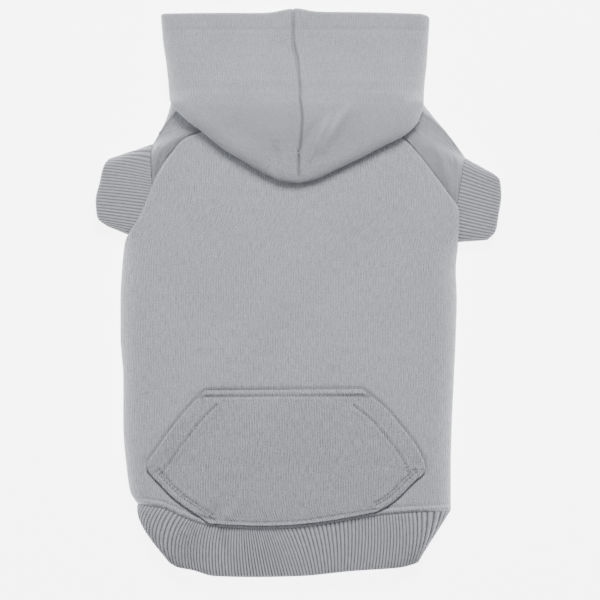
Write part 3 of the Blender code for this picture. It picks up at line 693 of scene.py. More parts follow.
# Name, light and dark grey, depth of the knit, strength of the fibres and of the columns.
JERSEY = jersey("heather_jersey", 0.61, 0.235, 0.00024, 1.0, 1.1)
# The sleeves' copy of the jersey is painted lighter than the body's: painted light against the
# shade of their slope, on the same fabric.
SLEEVE_LIT_JERSEY = jersey("sleeve_jersey_painted_light", 0.67, 0.25, 0.00032, 0.9, 1.3)
# The hood's copy of the jersey is painted darker than the body's: painted shade that offsets the
# extra light its slope catches.
HOOD_SHADED_JERSEY = jersey("hood_jersey_painted_shade", 0.505, 0.205, 0.00016, 0.65, 0.4)
# The pocket's copy of the jersey is painted darker than the body's: painted shade, on the same
# fabric.
POCKET_SHADED_JERSEY = jersey("pocket_jersey_painted_shade", 0.58, 0.20, 0.00030, 1.1, 1.5)
# In both rib knits the dark grey goes mostly into the grooves between the ribs, where it is partly
# painted shade.
RIBBING = rib_knit("heather_rib", 0.54, 0.11)
CUFF_RIBBING = rib_knit("cuff_rib", 0.51, 0.16)
FLEECE = brushed_fleece("brushed_inside", 0.44)
THREAD_GREY = thread("sewing_thread", 0.15)


# Body.

LAP_BLEND = 1.5  # rows over which the edge rises from the lap to the raglan seam


def seam_height(p, height, at):
    """Height of the back's edge: close under the back itself along the raglan seam."""
    share = min(max((at - LAP - 1) / LAP_BLEND, 0), 1)
    level = float(back_height(np.array(p[0]), np.array(p[1]))) - UNDER_BACK
    return height * LOFT * (1 - share) + max(height * LOFT, level) * share


def back_row(at, middle, turn):
    """One row of the back: plan and height from its left end to its right end."""
    lx, ld, lh, rx, rd, rh = between(BACK_EDGES, at)
    left, right = np.array(place(lx, ld)), np.array(place(rx, rd))
    ease = SIDE_EASE * min(max(ARMPIT + 1 - at, 0), 1)
    left[0] -= ease
    right[0] += ease
    fade = float(smooth(SAG_FADE, [at])[0])
    span = np.linalg.norm(right - left)
    steps = np.linspace(0, 1, turn)
    widths = []
    for p, height in ((left, lh), (right, rh)):
        low = seam_height(p, height, at)
        widths.append((low, roll_width(float(back_height(p[0], p[1])) - low)))
    rise = 1 - np.cos(steps * math.pi / 2)
    start, stop = widths[0][1] * rise / span, 1 - widths[1][1] * rise[::-1] / span
    u = np.concatenate([start, np.linspace(start[-1], stop[0], middle + 2)[1:-1], stop])
    x = left[0] + (right[0] - left[0]) * u
    y = left[1] + (right[1] - left[1]) * u - smooth(HEM_SAG, u) * fade * BODY_LENGTH
    z = back_height(x, y)
    low = np.where(u < 0.5, widths[0][0], widths[1][0])
    lift = np.concatenate([
        np.sin(steps * math.pi / 2), np.ones(middle), np.sin(steps[::-1] * math.pi / 2)
    ])
    return np.column_stack([x, y, low + (z - low) * lift])


def turn_under(edge, inward, count):
    """The turn under a side fold, from the floor up, the edge left out."""
    a = np.linspace(1, 0, count + 1)[:-1] * math.pi / 2
    return np.column_stack([
        edge[0] + inward * SIDE_TURN * (1 - np.cos(a)),
        np.full(count, edge[1]),
        edge[2] * (1 - np.sin(a)),
    ])


def hem_line():
    """The top of the hem seam, left to right, in plan."""
    return back_row(0, 120, 4)[:, :2]


def raglan_rows(start):
    """The back's row numbers along the raglan seam, from a first one up."""
    return np.arange(start, len(BACK_EDGES) - 0.99, 0.25)


def raglan_line(side):
    """The raglan seam of one side in plan, from the cuff up."""
    k = 0 if side < 0 else 3
    rows = [between(BACK_EDGES, at) for at in raglan_rows(LAP)]
    return np.array([place(row[k], row[k + 1]) for row in rows])


def seam_dips(x, y):
    """How far the cloth sinks or rises beside the hem seam."""
    d, run = near(x, y, HEM_LINE)
    stitched = pulls(run, HEM_PULLS) * ridge(d, *HEM_STITCH_DIP)
    return ridge(d, *HEM_SEAM_DIP) + stitched + ridge(d, *HEM_WELT)


def pocket_outline():
    """The pocket's edge in plan, all round."""
    last = len(POCKET_ROWS) - 1
    bottom = pocket_row(last)[:, :2]
    around = np.vstack([pocket_edge(-1, 0, last), bottom[::6], pocket_edge(1, 0, last)[::-1]])
    return np.vstack([around, around[:1]])


def pocket_dip(x, y):
    """How far the back sinks along the pocket's edge."""
    if y.min() > POCKET_OUTLINE[:, 1].max() + 5 * POCKET_FOOT[1]:
        return np.zeros(len(x))
    return ridge(near(x, y, POCKET_OUTLINE)[0], *POCKET_FOOT)


HEM_LINE = hem_line()
RAGLANS = [raglan_line(-1), raglan_line(1)]
BACK_ROWS, HEM_ROWS, BACK_MIDDLE, BACK_ROLL, BACK_TURN = 238, 24, 178, 7, 5
HEM_DETAIL = 0.010  # how far up from the hem seam the back's rows lie close
HEM_MIDDLE, HEM_ROLL, HEM_TURN = 240, 8, 4


def make_back():
    table = np.array(BACK_EDGES)
    down = (table[:, 1] + table[:, 4]) / 2 * BODY_LENGTH
    wide = (np.abs(table[:, 0]) + np.abs(table[:, 3])) / 2 * HALF
    run = lengths(np.column_stack([down, wide * 0.5]))
    spots = np.concatenate([
        np.linspace(0, HEM_DETAIL, HEM_ROWS)[:-1],
        np.linspace(HEM_DETAIL, run[-1], BACK_ROWS - HEM_ROWS + 1),
    ])
    at = np.interp(spots, run, np.arange(len(table)))
    rows, cells = [], []
    for j, spot in enumerate(at):
        row = back_row(spot, BACK_MIDDLE, BACK_ROLL)
        row[:, 2] += seam_dips(row[:, 0], row[:, 1]) + pocket_dip(row[:, 0], row[:, 1])
        if spot > LAP:
            for raglan in RAGLANS:
                row[:, 2] += ridge(near(row[:, 0], row[:, 1], raglan)[0], *RAGLAN_DIP)
        left = turn_under(row[0], 1, BACK_TURN)
        right = turn_under(row[-1], -1, BACK_TURN)[::-1]
        if j + 1 < BACK_ROWS:
            side = spot < ARMPIT
            cells.append([side] * BACK_TURN + [True] * (len(row) - 1) + [side] * BACK_TURN)
        rows.append(np.vstack([left, row, right]))
    return shell("back_cloth", rows, CLOTH, (JERSEY, FLEECE), np.array(cells))


BELLY_SPOTS = (0.5, 1.0, 1.5, 2.0, 3.0, 4.0, 5.0, 6.0, 7.0, 7.5, 8.0)  # rows of the back's edge
BELLY_ROWS, BELLY_COLUMNS = 120, 110


def make_belly():
    inset = SIDE_TURN + SEAM_GAP * 1.5
    sides = []
    for k, table, inward in ((0, FRONT_RAGLANS[0], 1), (3, FRONT_RAGLANS[1], -1)):
        line = []
        for at in BELLY_SPOTS:
            e = between(BACK_EDGES, at)
            x, y = place(e[k], e[k + 1])
            line.append((x + inward * inset, y))
        line += [tuple(p) for p in aside(placed(table, 7), -inward * SEAM_GAP)[1:]]
        sides.append(along(line, np.linspace(0, 1, BELLY_ROWS)))
    hem = aside(placed(BELLY_HEM, 19), SEAM_GAP / 2)
    hem = np.vstack([sides[0][0], hem[1:-1], sides[1][0]])
    share = np.linspace(0, 1, BELLY_COLUMNS)[:, None]
    spots = np.linspace(0, 1, len(hem))
    hem = np.column_stack([np.interp(share[:, 0], spots, hem[:, k]) for k in (0, 1)])
    run = lengths(sides[0])
    straight = sides[0][0] * (1 - share) + sides[1][0] * share
    rows = []
    for left, right, done in zip(*sides, run / run[-1]):
        p = left * (1 - share) + right * share + (hem - straight) * (1 - done)
        rows.append(np.column_stack([p, np.zeros(len(p))])[::-1])
    return shell("belly_cloth", rows, CLOTH, (JERSEY, FLEECE))


# Hem band.

def from_ends(plan):
    """Distance of each point of a line to the nearer of its ends, along the line."""
    run = lengths(plan)
    return np.minimum(run, run[-1] - run)


def hem_rings():
    """The loops of the seam and of the free edge: over the top, then back below."""
    top = back_row(0, HEM_MIDDLE, HEM_ROLL)
    top[:, 2] += seam_dips(top[:, 0], top[:, 1])
    left = turn_under(top[0], 1, HEM_TURN)
    right = turn_under(top[-1], -1, HEM_TURN)
    under = aside(placed(BELLY_HEM, 61), -SEAM_GAP / 2)
    under = np.column_stack([under, np.zeros(len(under))])[1:-1][::-1]
    gap = (0, HEM_GAP, 0)
    upper = np.vstack([left[1:], top, right[::-1][:-1]]) - gap
    lower = np.vstack([right[:1] - gap, under, left[:1] - gap])
    edge = BACK_EDGES[0][2] * LOFT
    rise = BAND_LOFT - edge
    free = []
    for table in (BAND_TOP_EDGE, BAND_BELLY_EDGE):
        plan = np.array([(a * HALF, -BODY_LENGTH - d * BAND_DEPTH) for a, d in curve(table, 161)])
        if table is BAND_TOP_EDGE:
            z = edge + rise * roll(from_ends(plan), roll_width(rise))
        else:
            z = edge * (1 - roll(from_ends(plan), SIDE_TURN))
        free.append(np.column_stack([plan, z]))
    return (upper, lower), (free[0], free[1][::-1][1:-1])


def ribs(start, end, phase, count, rows, columns):
    """How far each grid point stands across the knitted ribs, counted in ribs.

    A rib runs from the grid share in start, at the seam, to the one in end, at the free edge.
    """
    start = np.concatenate([start - 1, start, start + 1])
    end = np.concatenate([end - 1, end, end + 1])
    phase = np.concatenate([phase - count, phase, phase + count])
    grid = np.arange(columns) / columns
    return np.array([np.interp(grid, start + (end - start) * t, phase) for t in rows])


def ribbed(name, grid, phase, high, length, material, turned):
    """A tube of rib knit: grid, ribs counted across it, their height, length of the ribs.

    The ribs are rounded, with narrow grooves between them.
    """
    relief = -high * np.abs(2 * (phase % 1) - 1) ** 2.4
    t = np.linspace(0, 1, len(grid))[:, None]
    knit = np.stack([phase * KNIT_RIB, np.broadcast_to(t * length, phase.shape)], -1)
    if turned:
        grid, knit, relief = grid[::-1], knit[::-1], relief[::-1]
    return shell(name, grid, RIB, (material, material), closed=True, knit=knit, relief=relief)


RIB_ROWS = 24
BAND_RIB_COLUMNS, CUFF_RIB_COLUMNS = 7, 8  # grid columns to one knitted rib


def make_band():
    (upper, lower), (free_upper, free_lower) = hem_rings()
    seam = np.vstack([upper, lower, upper[:1]])
    free = np.vstack([free_upper, free_lower, free_upper[:1]])
    seam_run, free_run = lengths(seam), lengths(free)
    top_seam = seam_run[len(upper) - 1] / seam_run[-1]
    top_free = free_run[len(free_upper) - 1] / free_run[-1]
    count = round(free_run[-1] / KNIT_RIB)
    columns = count * BAND_RIB_COLUMNS
    share = np.arange(columns) / columns
    a = along(seam, share)
    b = along(free, np.interp(share, [0, top_seam, 1], [0, top_free, 1]))
    b = rounded(b, 3, closed=True)
    rows = np.linspace(0, 1, RIB_ROWS)
    grid = []
    for t in rows:
        row = a * (1 - t) + b * t
        bow = 4 * t * (1 - t) * np.where(row[:, 0] < 0, BAND_BOWS[0], BAND_BOWS[1]) * BAND_DEPTH
        bow = bow * np.clip(row[:, 2] / BAND_LIFTS, 0, 1)
        row[:, 0] += np.sign(row[:, 0]) * bow * np.abs(row[:, 0] / HALF) ** 4
        row[:, 1] -= BAND_SPRING * t
        grid.append(row)
    grid = np.array(grid)
    # The band springs up past the seam, and its free edge rounds over.
    topside = np.clip(grid[..., 2] / LOFT, 0, 1) ** 2
    t = rows[:, None]
    x = grid[..., 0]
    high, first, phase, second = BAND_WAVE
    swell = BAND_SWELL + high * np.sin(x / first + phase) * np.sin(x / second)
    grid[..., 2] += topside * np.sin(math.pi * t) ** 0.7 * swell
    grid[..., 2] += topside * rounding(1 - t, *BAND_END)
    table = np.array(BAND_RIBS)
    free_share = np.linspace(0, 1, 260)[:-1]
    end = np.interp(free_share, [0, top_free, 1], [0, top_seam, 1])
    first, last = table[0, 1], table[-1, 1]
    start = np.interp(free_share, [last * top_free, 1 + first * top_free], [top_seam, 1])
    for turn in (0, 1):
        spot = (free_share - turn) / top_free
        here = (spot >= first) & (spot <= last)
        start[here] = hermite(table[:, 1], table[:, 0], spot[here]) * top_seam + turn
    phase = ribs(start, end, free_share * count, count, rows, columns)
    high = KNIT_RIB_HIGH * np.clip(0.45 + 4 * t, 0, 1)
    return ribbed("hem_band", grid, phase, high, BAND_DEPTH, RIBBING, True)


# Sleeves and cuffs.

def sleeve_rings(side):
    """The armhole loop, the cuff seam loop and the cuff's free loop of one side."""
    k = 0 if side < 0 else 3
    hand = k // 3
    front, neck = FRONT_RAGLANS[hand], NECK_SIDES[hand]
    top = [(*place(a, d), h * LOFT) for a, d, h in ARMHOLES[hand]]
    rising = [(LAP + past, height) for past, height in RAGLAN_RISE]
    for at, height in rising + [(at, None) for at in raglan_rows(LAP + 2.25)]:
        e = between(BACK_EDGES, at)
        before = between(BACK_EDGES, at - 0.2)
        here, back = np.array(place(e[k], e[k + 1])), np.array(place(before[k], before[k + 1]))
        way = (here - back) / np.linalg.norm(here - back)
        out = np.array([way[1], -way[0]]) * side
        p = here + out * RAGLAN_GAP
        top.append((p[0], p[1], seam_height(p, height or e[k + 2], at)))
    corner = top[-1]
    nx, ny = place(neck[0], neck[1])
    low = neck[2] * LOFT
    turn = roll_width(corner[2] - low)
    for u in (0.25, 0.5):
        x = corner[0] + (nx - side * turn - corner[0]) * u * 2
        top.append((x, corner[1] + (ny - corner[1]) * u, corner[2]))
    for a in (0.8, 0.66, 0.5, 0.33, 0.15, 0.0):
        x = nx - side * turn * (1 - math.cos(a * math.pi / 2))
        top.append((x, ny, low + (corner[2] - low) * math.sin(a * math.pi / 2)))
    under = [(nx, ny, low)]
    low_y = -NECK_FRONT_DOWN * BODY_LENGTH
    for a in (0.25, 0.5, 0.75, 1.0):
        d = SIDE_TURN * (1 - math.cos(a * math.pi / 2))
        under.append((nx - side * d, ny + (low_y - ny) * a, low * (1 - math.sin(a * math.pi / 2))))
    fx = place(*front[-1])[0]
    under.append(((nx + fx) / 2, low_y, 0.0))
    for x, y in aside(placed(front, 25), -side * SEAM_GAP / 2)[::-1][:-1]:
        under.append((x, min(y, low_y), 0.0))
    under.append(top[0])

    def tube(line, loft):
        plan = placed(line, 121)
        lift = roll(from_ends(plan), loft * 0.75) * loft / 2
        upper = np.column_stack([plan, loft / 2 + lift])
        lower = np.column_stack([plan, loft / 2 - lift])[::-1]
        return upper, lower

    return (top, under), tube(CUFF_SEAMS[hand], CUFF_LOFT), tube(CUFF_ENDS[hand], CUFF_LOFT)


def loop_of(parts, spots_top, spots_under):
    """A closed loop from its upper and its lower part, at given shares of each."""
    upper = along(parts[0], spots_top)
    lower = along(parts[1], spots_under)
    return np.vstack([upper, lower[1:-1]])


def eased(count, ease):
    """Shares from 0 to 1 that crowd a little towards both ends."""
    u = np.linspace(0, 1, count)
    return u * (1 - ease) + ease * (0.5 - 0.5 * np.cos(math.pi * u))


SLEEVE_TOP, SLEEVE_UNDER, SLEEVE_ROWS = 120, 84, 64
SLEEVE_FIRST = [0, 0.007, 0.016, 0.027]  # close rows at the raglan seam
RAGLAN_BEND = 0.063  # how far out the raglan seam bends
BEND_EASE = 0.0032


def make_sleeve(name, side):
    hole, seam, _ = sleeve_rings(side)
    spots = eased(SLEEVE_TOP, 0.2), eased(SLEEVE_UNDER, 0.3)
    a = rounded(loop_of(hole, *spots), 3, closed=True)
    b = loop_of(seam, smooth(SLEEVE_TOP_MATCH, spots[0]), smooth(SLEEVE_UNDER_MATCH, spots[1]))
    # Beside the bend of the raglan seam the cloth first runs away from the seam.
    bend = ridge(a[:, 0], side * RAGLAN_BEND, 0.014, BEND_EASE) * (a[:, 2] > 0.7 * LOFT)
    shoulder = ridge(np.arange(len(a)), SLEEVE_TOP - 1, SLEEVE_TOP / 5, 1)
    rows = []
    for t in np.concatenate([SLEEVE_FIRST, np.linspace(0.04, 1, SLEEVE_ROWS)]):
        row = a * (1 - t) + b * t
        row[:, 2] += (a[:, 2] - b[:, 2]) * (t - t**1.9)
        middle = 4 * t * (1 - t)
        swell = middle * SHOULDER_BOWS[0 if side < 0 else 1] * HALF * shoulder
        row[:, 0] += side * (0.35 * bend * middle + swell)
        row[:, 1] += bend * middle + 0.6 * swell
        topside = np.clip(row[:, 2] / LOFT, 0, 1) ** 2
        rings = sum(ridge(t, *ring) for ring in SLEEVE_RINGS)
        row[:, 2] += topside * (drift(row[:, 0], row[:, 1]) * min(1, 6 * t) + rings)
        creases = folds(row[:, 0], row[:, 1], SLEEVE_FOLDS, BODY_WIDTH, -BODY_LENGTH)
        row[:, 2] += topside * creases
        rows.append(row)
    rows = np.array(rows)
    if side > 0:
        rows = rows[::-1]
    # The sleeve's outer face takes the jersey that is painted lighter, as painted light.
    return shell(name, rows, CLOTH, (SLEEVE_LIT_JERSEY, FLEECE), closed=True)


def make_cuff(name, side):
    _, seam, end = sleeve_rings(side)
    loop = lengths(np.vstack([seam[0], seam[1][1:]]))[-1]
    half = round(loop / 2 / KNIT_RIB) * CUFF_RIB_COLUMNS
    spots = np.linspace(0, 1, half + 1)
    a = loop_of(seam, spots, spots)
    b = rounded(loop_of(end, spots, spots), 2, closed=True)
    way = b - a
    way /= np.linalg.norm(way, axis=1)[:, None]
    a = a + way * CUFF_GAP
    b = b + way * CUFF_SPRING
    rows = np.linspace(0, 1, RIB_ROWS)
    grid = np.array([a * (1 - t) + b * t for t in rows])
    t = rows[:, None]
    away = np.maximum((grid[..., 2] - CUFF_LOFT / 2) / (CUFF_LOFT / 2), 0)
    grid[..., 2] += away * (CUFF_SWELL * np.sin(math.pi * t) + rounding(1 - t, *CUFF_END))
    table = np.array(CUFF_RIBS[0 if side < 0 else 1])
    count = round(lengths(np.vstack([end[0], end[1][1:]]))[-1] / KNIT_RIB)
    start = np.linspace(0, 1, 240)[:-1]
    end_share = np.interp(start, [0.5, 1], [table[-1, 1] / 2, 1 + table[0, 1] / 2])
    upper = start <= 0.5
    end_share[upper] = hermite(table[:, 0] / 2, table[:, 1] / 2, start[upper])
    phase = ribs(start, end_share, end_share * count, count, rows, len(a))
    high = CUFF_RIB_HIGH * np.clip(0.6 + 3 * t, 0, 1)
    return ribbed(name, grid, phase, high, CUFF_LONG, CUFF_RIBBING, side > 0)


# Hood.

HOOD_TOP, HOOD_ROLL, HOOD_TURN, HOOD_UNDER = 84, 16, 8, 34
HOOD_SPAN = 0.022  # the outer part of a hood row, where its columns crowd to the fold
MOST_OF_ROW = 0.75  # share of a short row that its roll may take
HOOD_SPREAD = 0.0016  # how far the mouth's corners reach past the part's
HOOD_STRETCH = (0.0002, 0.0016, 0.0032)  # how far the mouth reaches on: seam, left, right
HOOD_CORNERS = (0.0012, 0.0042)  # radius of the mouth's corners, left and right
HOOD_GROOVE = (0.0006, 0.0023)  # width and depth of the centre seam
HOOD_GAPE = (0.0005, 0.0004)  # how much wider and deeper it is where it gapes
HOOD_GAPE_AT = (0.026, 0.009)  # where that is, up from the neckline, and for how far


def hood_plan(across, ahead):
    reach = HOOD_REACH if ahead > 0 else HOOD_DROP
    return np.array([across * HOOD_WIDTH / 2, ahead * reach])


def hood_relief(x, y):
    """The hood's own waves and wrinkles."""
    waves = drift(x * 1.3 + 0.05, y * 1.3) * 0.9
    return waves + folds(x, y, HOOD_FOLDS, HOOD_WIDTH, HOOD_WIDTH)


def hood_line(at, side):
    """A row's plan: where it starts at the seam, its direction and its length."""
    row = between(HOOD_ROWS, at)
    centre = hood_plan(row[0], row[1])
    rim = hood_plan(*(row[2:4] if side < 0 else row[4:6]))
    centre[0] += side * HOOD_SEAM
    if at >= len(HOOD_ROWS) - 1:
        rim[0] += side * HOOD_SEAM
    way = rim - centre
    length = np.linalg.norm(way)
    return centre, way / length, length


def hood_floor(at, p):
    """What the lower layer of a row lies on: the floor, or the back."""
    low = between(HOOD_HEIGHTS, at)[2]
    return low * (back_height(p[:, 0], p[:, 1]) + NAPE_GAP) if low > 0 else np.zeros(len(p))


def hood_sizes(at, side):
    """Height of a row's top, height of its fold and how wide it rolls over."""
    centre, way, length = hood_line(at, side)
    top, edge, low, _ = between(HOOD_HEIGHTS, at)
    height = MOUTH_LOFT + (LOFT + DOME + HOOD_LIFT - MOUTH_LOFT) * top
    ground = float(hood_floor(at, (centre + way * length)[None])[0])
    lip = ground + HOOD_FOLD if low > 0 else max(edge * height, HOOD_FOLD)
    return height, lip, min(1.5 * (height - lip), MOST_OF_ROW * length)


def hood_row(at, side, height, lip, wide):
    """One row: out from the centre seam on top, round the fold and back below."""
    centre, way, length = hood_line(at, side)
    ground = float(hood_floor(at, (centre + way * length)[None])[0])
    lip = max(lip, ground + HOOD_FOLD)
    span = min(HOOD_SPAN, MOST_OF_ROW * length)
    turn = min(HOOD_FOLD * 1.1, 0.3 * length)
    a = np.linspace(1, 0, HOOD_ROLL + 1)[1:]
    s = np.concatenate([
        (length - span) * np.linspace(0, 1, HOOD_TOP) ** 1.5,
        length - span * (1 - np.cos(a * math.pi / 2)),
    ])
    p = centre + way * s[:, None]
    p[:, 1] += ridge(s, 0, 0.06 * HOOD_WIDTH, MOUTH_PEAK * max(0.0, 1 - at))
    z = lip + (height - lip) * roll(length - s, min(wide, MOST_OF_ROW * length))
    parts = [np.column_stack([p, z])]
    a = np.linspace(0, 1, HOOD_TURN + 1)[1:]
    p = centre + way * (length - turn * (1 - np.cos(a * math.pi / 2)))[:, None]
    z = hood_floor(at, p) + (lip - ground) * (1 - np.sin(a * math.pi / 2))
    parts.append(np.column_stack([p, z]))
    finish = length - max(between(HOOD_HEIGHTS, at)[3] * length, turn + 0.0015)
    s = np.linspace(length - turn, finish, HOOD_UNDER)[1:]
    p = centre + way * s[:, None]
    parts.append(np.column_stack([p, hood_floor(at, p)]))
    return np.vstack(parts)


HOOD_PARTS = [  # first and last row, count of rows, how they crowd to the last
    (0, THROAT_ROW, 54, 1), (THROAT_ROW, NAPE_ROW, 7, 1), (NAPE_ROW, len(HOOD_ROWS) - 1, 64, 1.35),
]


def make_hood(name, side):
    table = np.array(HOOD_ROWS)
    outer = 3 if side < 0 else 5
    ahead = table[:, [1, outer]] * np.where(table[:, [1, outer]] > 0, HOOD_REACH, HOOD_DROP)
    run = lengths(ahead * 0.6)
    number = np.arange(len(table))
    parts = []
    for first, last, count, crowd in HOOD_PARTS:
        share = 1 - np.linspace(1, 0, count) ** crowd
        parts.append(np.interp(run[first] + (run[last] - run[first]) * share, run, number)[:-1])
    spots = np.concatenate(parts + [[len(table) - 1.0]])
    sizes = np.array([hood_sizes(at, side) for at in spots]).T
    sizes = [rounded(values, passes) for values, passes in zip(sizes, (260, 24, 60))]
    rows = np.array([hood_row(at, side, *one) for at, *one in zip(spots, *sizes)])
    column = np.arange(rows.shape[1])
    x, y = rows[..., 0], rows[..., 1]
    rows[..., 2] += hood_relief(x, y) * np.clip((HOOD_TOP + HOOD_ROLL - column) / HOOD_ROLL, 0, 1)
    seam = np.vstack([rows[:, 0, :2], rows[-1, 1 : HOOD_TOP + HOOD_ROLL, :2]])
    d = near(x, y, seam)[0]
    gape = ridge(y, *HOOD_GAPE_AT, 1)
    wide, deep = (normal + more * gape for normal, more in zip(HOOD_GROOVE, HOOD_GAPE))
    groove = ridge(d, 0, wide, -deep) + ridge(d, *HOOD_SEAM_ROLL)
    rows[..., 2] += groove * (column < HOOD_TOP + HOOD_ROLL / 2)
    # The sides of the neck opening have no lower layer.
    cells = np.ones((len(rows) - 1, len(column) - 1), bool)
    for j, at in enumerate(spots[:-1]):
        if THROAT_ROW <= at < NAPE_ROW - 1e-9:
            cells[j, len(column) - HOOD_UNDER :] = False
    # The mouth's hem rounds over at its edge and dips at its stitch line.
    run = lengths(rows[:, 20, :2])
    dip = rounding(run, *MOUTH_EDGE) + ridge(run, *MOUTH_STITCH_DIP)
    rows[..., 2] += dip[:, None] * (column < HOOD_TOP + HOOD_ROLL * 0.6)
    out = np.clip(column / HOOD_TOP, 0, 1)
    rows[..., 0] += side * HOOD_SPREAD * out * np.clip(1 - run / 0.06, 0, 1)[:, None]
    radius = HOOD_CORNERS[0 if side < 0 else 1]
    rows[..., 0] += side * rounding(run, radius, radius)[:, None] * out**2
    middle, end = HOOD_STRETCH[0], HOOD_STRETCH[1 if side < 0 else 2]
    stretch = middle + (end - middle) * out**0.6
    rows[..., 1] += stretch * np.clip(1 - run / 0.04, 0, 1)[:, None]
    if side > 0:
        rows, cells = rows[::-1], cells[::-1]
    # The hood's outer face takes the jersey that is painted darker, as painted shade.
    return shell(name, rows, CLOTH, (HOOD_SHADED_JERSEY, FLEECE), cells)


# Pocket.

HEM_RUNS_ON = 0.0045  # how far the stitching of the turned hems runs past the openings


def pocket_place(across, down):
    """Plan position from shares of the pocket's sizes."""
    return POCKET_AXIS + across * POCKET_WIDTH / 2, -POCKET_DOWN - down * POCKET_DROP


def pocket_edge(side, first, last):
    """One side edge of the pocket between two of its rows, in plan, downwards."""
    k = 0 if side < 0 else 2
    rows = [between(POCKET_ROWS, at) for at in np.linspace(first, last, 25)]
    return np.array([pocket_place(row[k], row[k + 1]) for row in rows])


def pocket_lines():
    """Stitch lines on the pocket in plan: the top, both turned hems and both sewn corners."""
    lines = {}
    for side in (-1, 1):
        inward = side * -1
        line = aside(pocket_edge(side, 0.12, OPEN_TO - 0.1), inward * POCKET_HEM)
        way = line[-1] - line[-4]
        lines["hem", side] = np.vstack([line, line[-1] + way / np.linalg.norm(way) * HEM_RUNS_ON])
        edge = pocket_edge(side, OPEN_TO + 0.5, 7.9)
        lines["corner", side] = aside(edge, inward * POCKET_EDGE)
        lines["corner twin", side] = aside(edge, inward * (POCKET_EDGE + POCKET_TWIN))
    lx, ld, rx, rd, _ = between(POCKET_ROWS, 0)
    ends = np.array([pocket_place(lx, ld), pocket_place(rx, rd)]) - (0, POCKET_EDGE)
    lines["top", 0] = along(ends, np.linspace(0, 1, 40))
    return lines


POCKET_LINES = pocket_lines()
POCKET_COLUMNS, POCKET_GRID_ROWS = 240, 140


def pocket_row(at):
    """One row of the pocket, from left to right."""
    lx, ld, rx, rd, loose = between(POCKET_ROWS, at)
    left, right = pocket_place(lx, ld), pocket_place(rx, rd)
    v = at / (len(POCKET_ROWS) - 1)
    u = eased(POCKET_COLUMNS, 0.35)
    x = left[0] + (right[0] - left[0]) * u
    y = left[1] + (right[1] - left[1]) * u - POCKET_SAG * POCKET_DROP * np.sin(math.pi * u) * v**3
    if at > OPEN_TO:
        sewn = np.minimum(1.0, np.minimum(8 * u, 8 * (1 - u)))
    else:
        sewn = 0.55 + 0.45 * np.sin(math.pi * u)
    z = back_height(x, y) + SEAM_GAP + CLOTH + POCKET_LIFT * loose * sewn
    return np.column_stack([x, y, z])


POCKET_OUTLINE = pocket_outline()


def make_pocket():
    last = len(POCKET_ROWS) - 1
    rows = np.array([pocket_row(at) for at in np.linspace(last, 0, POCKET_GRID_ROWS)])
    x, y, z = rows[..., 0], rows[..., 1], rows[..., 2]
    for line in POCKET_LINES.values():
        d, run = near(x, y, line)
        z += pulls(run, POCKET_PULLS) * ridge(d, *POCKET_STITCH_DIP)
        z += ridge(d, *POCKET_STITCH_ROLL)
    for side in (-1, 1):
        z += rounding(near(x, y, pocket_edge(side, 0, last))[0], *POCKET_RIM)
    z += rounding(np.abs(y - y[-1].mean()), *POCKET_RIM)
    z += seam_dips(x, y) * 0.9
    # The pocket's outer face takes the jersey that is painted darker, as painted shade.
    return shell("pouch_pocket_cloth", rows, CLOTH, (POCKET_SHADED_JERSEY, FLEECE))


# Stitches.

SWAY = 0.12  # how far a stitch turns out of its row, radians


def stitch_tree():
    """A Geometry Nodes tree that sews a row of stitches along every line of a mesh."""
    tree = bpy.data.node_groups.new("stitches along a line", "GeometryNodeTree")
    face = tree.interface
    face.new_socket("Geometry", in_out="INPUT", socket_type="NodeSocketGeometry")
    for name in ("Stitch Pitch", "Stitch Length", "Thread Width"):
        face.new_socket(name, in_out="INPUT", socket_type="NodeSocketFloat")
    face.new_socket("Thread", in_out="INPUT", socket_type="NodeSocketMaterial")
    face.new_socket("Geometry", in_out="OUTPUT", socket_type="NodeSocketGeometry")

    def node(kind, sockets=(), **settings):
        made = tree.nodes.new("GeometryNode" + kind if "Node" not in kind else kind)
        for key, value in settings.items():
            setattr(made, key, value)
        for key, value in dict(sockets).items():
            if isinstance(value, bpy.types.NodeSocket):
                tree.links.new(value, made.inputs[key])
            else:
                made.inputs[key].default_value = value
        return made.outputs

    given = node("NodeGroupInput")
    line = node("MeshToCurve", {"Mesh": given["Geometry"]})
    pitch = {"Curve": line[0], "Length": given["Stitch Pitch"]}
    spots = node("ResampleCurve", pitch, mode="LENGTH")
    bead = node("MeshUVSphere", {"Segments": 6, "Rings": 4, "Radius": 0.5})
    thick = given["Thread Width"]
    size = node("ShaderNodeCombineXYZ", {0: given["Stitch Length"], 1: thick, 2: thick})
    shaped = node("Transform", {"Geometry": bead[0], "Scale": size[0]})
    way = {"Vector": node("InputTangent")[0]}
    lay = node("FunctionNodeAlignRotationToVector", way, axis="X")
    sway = node("FunctionNodeRandomValue", {"Seed": 7}, data_type="FLOAT")
    limits = [s for s in sway[0].node.inputs if s.type == "VALUE" and s.enabled]
    limits[0].default_value = -SWAY
    limits[1].default_value = SWAY
    axis = node("ShaderNodeCombineXYZ", {2: [s for s in sway if s.enabled][0]})
    turn = {"Rotation": lay[0], "Rotate By": axis[0]}
    turned = node("FunctionNodeRotateRotation", turn, rotation_space="LOCAL")
    sewing = {"Points": spots[0], "Instance": shaped[0], "Rotation": turned[0]}
    row = node("InstanceOnPoints", sewing)
    real = node("RealizeInstances", {"Geometry": row[0]})
    done = node("SetMaterial", {"Geometry": real[0], "Material": given["Thread"]})
    node("NodeGroupOutput", {"Geometry": done[0]})
    return tree


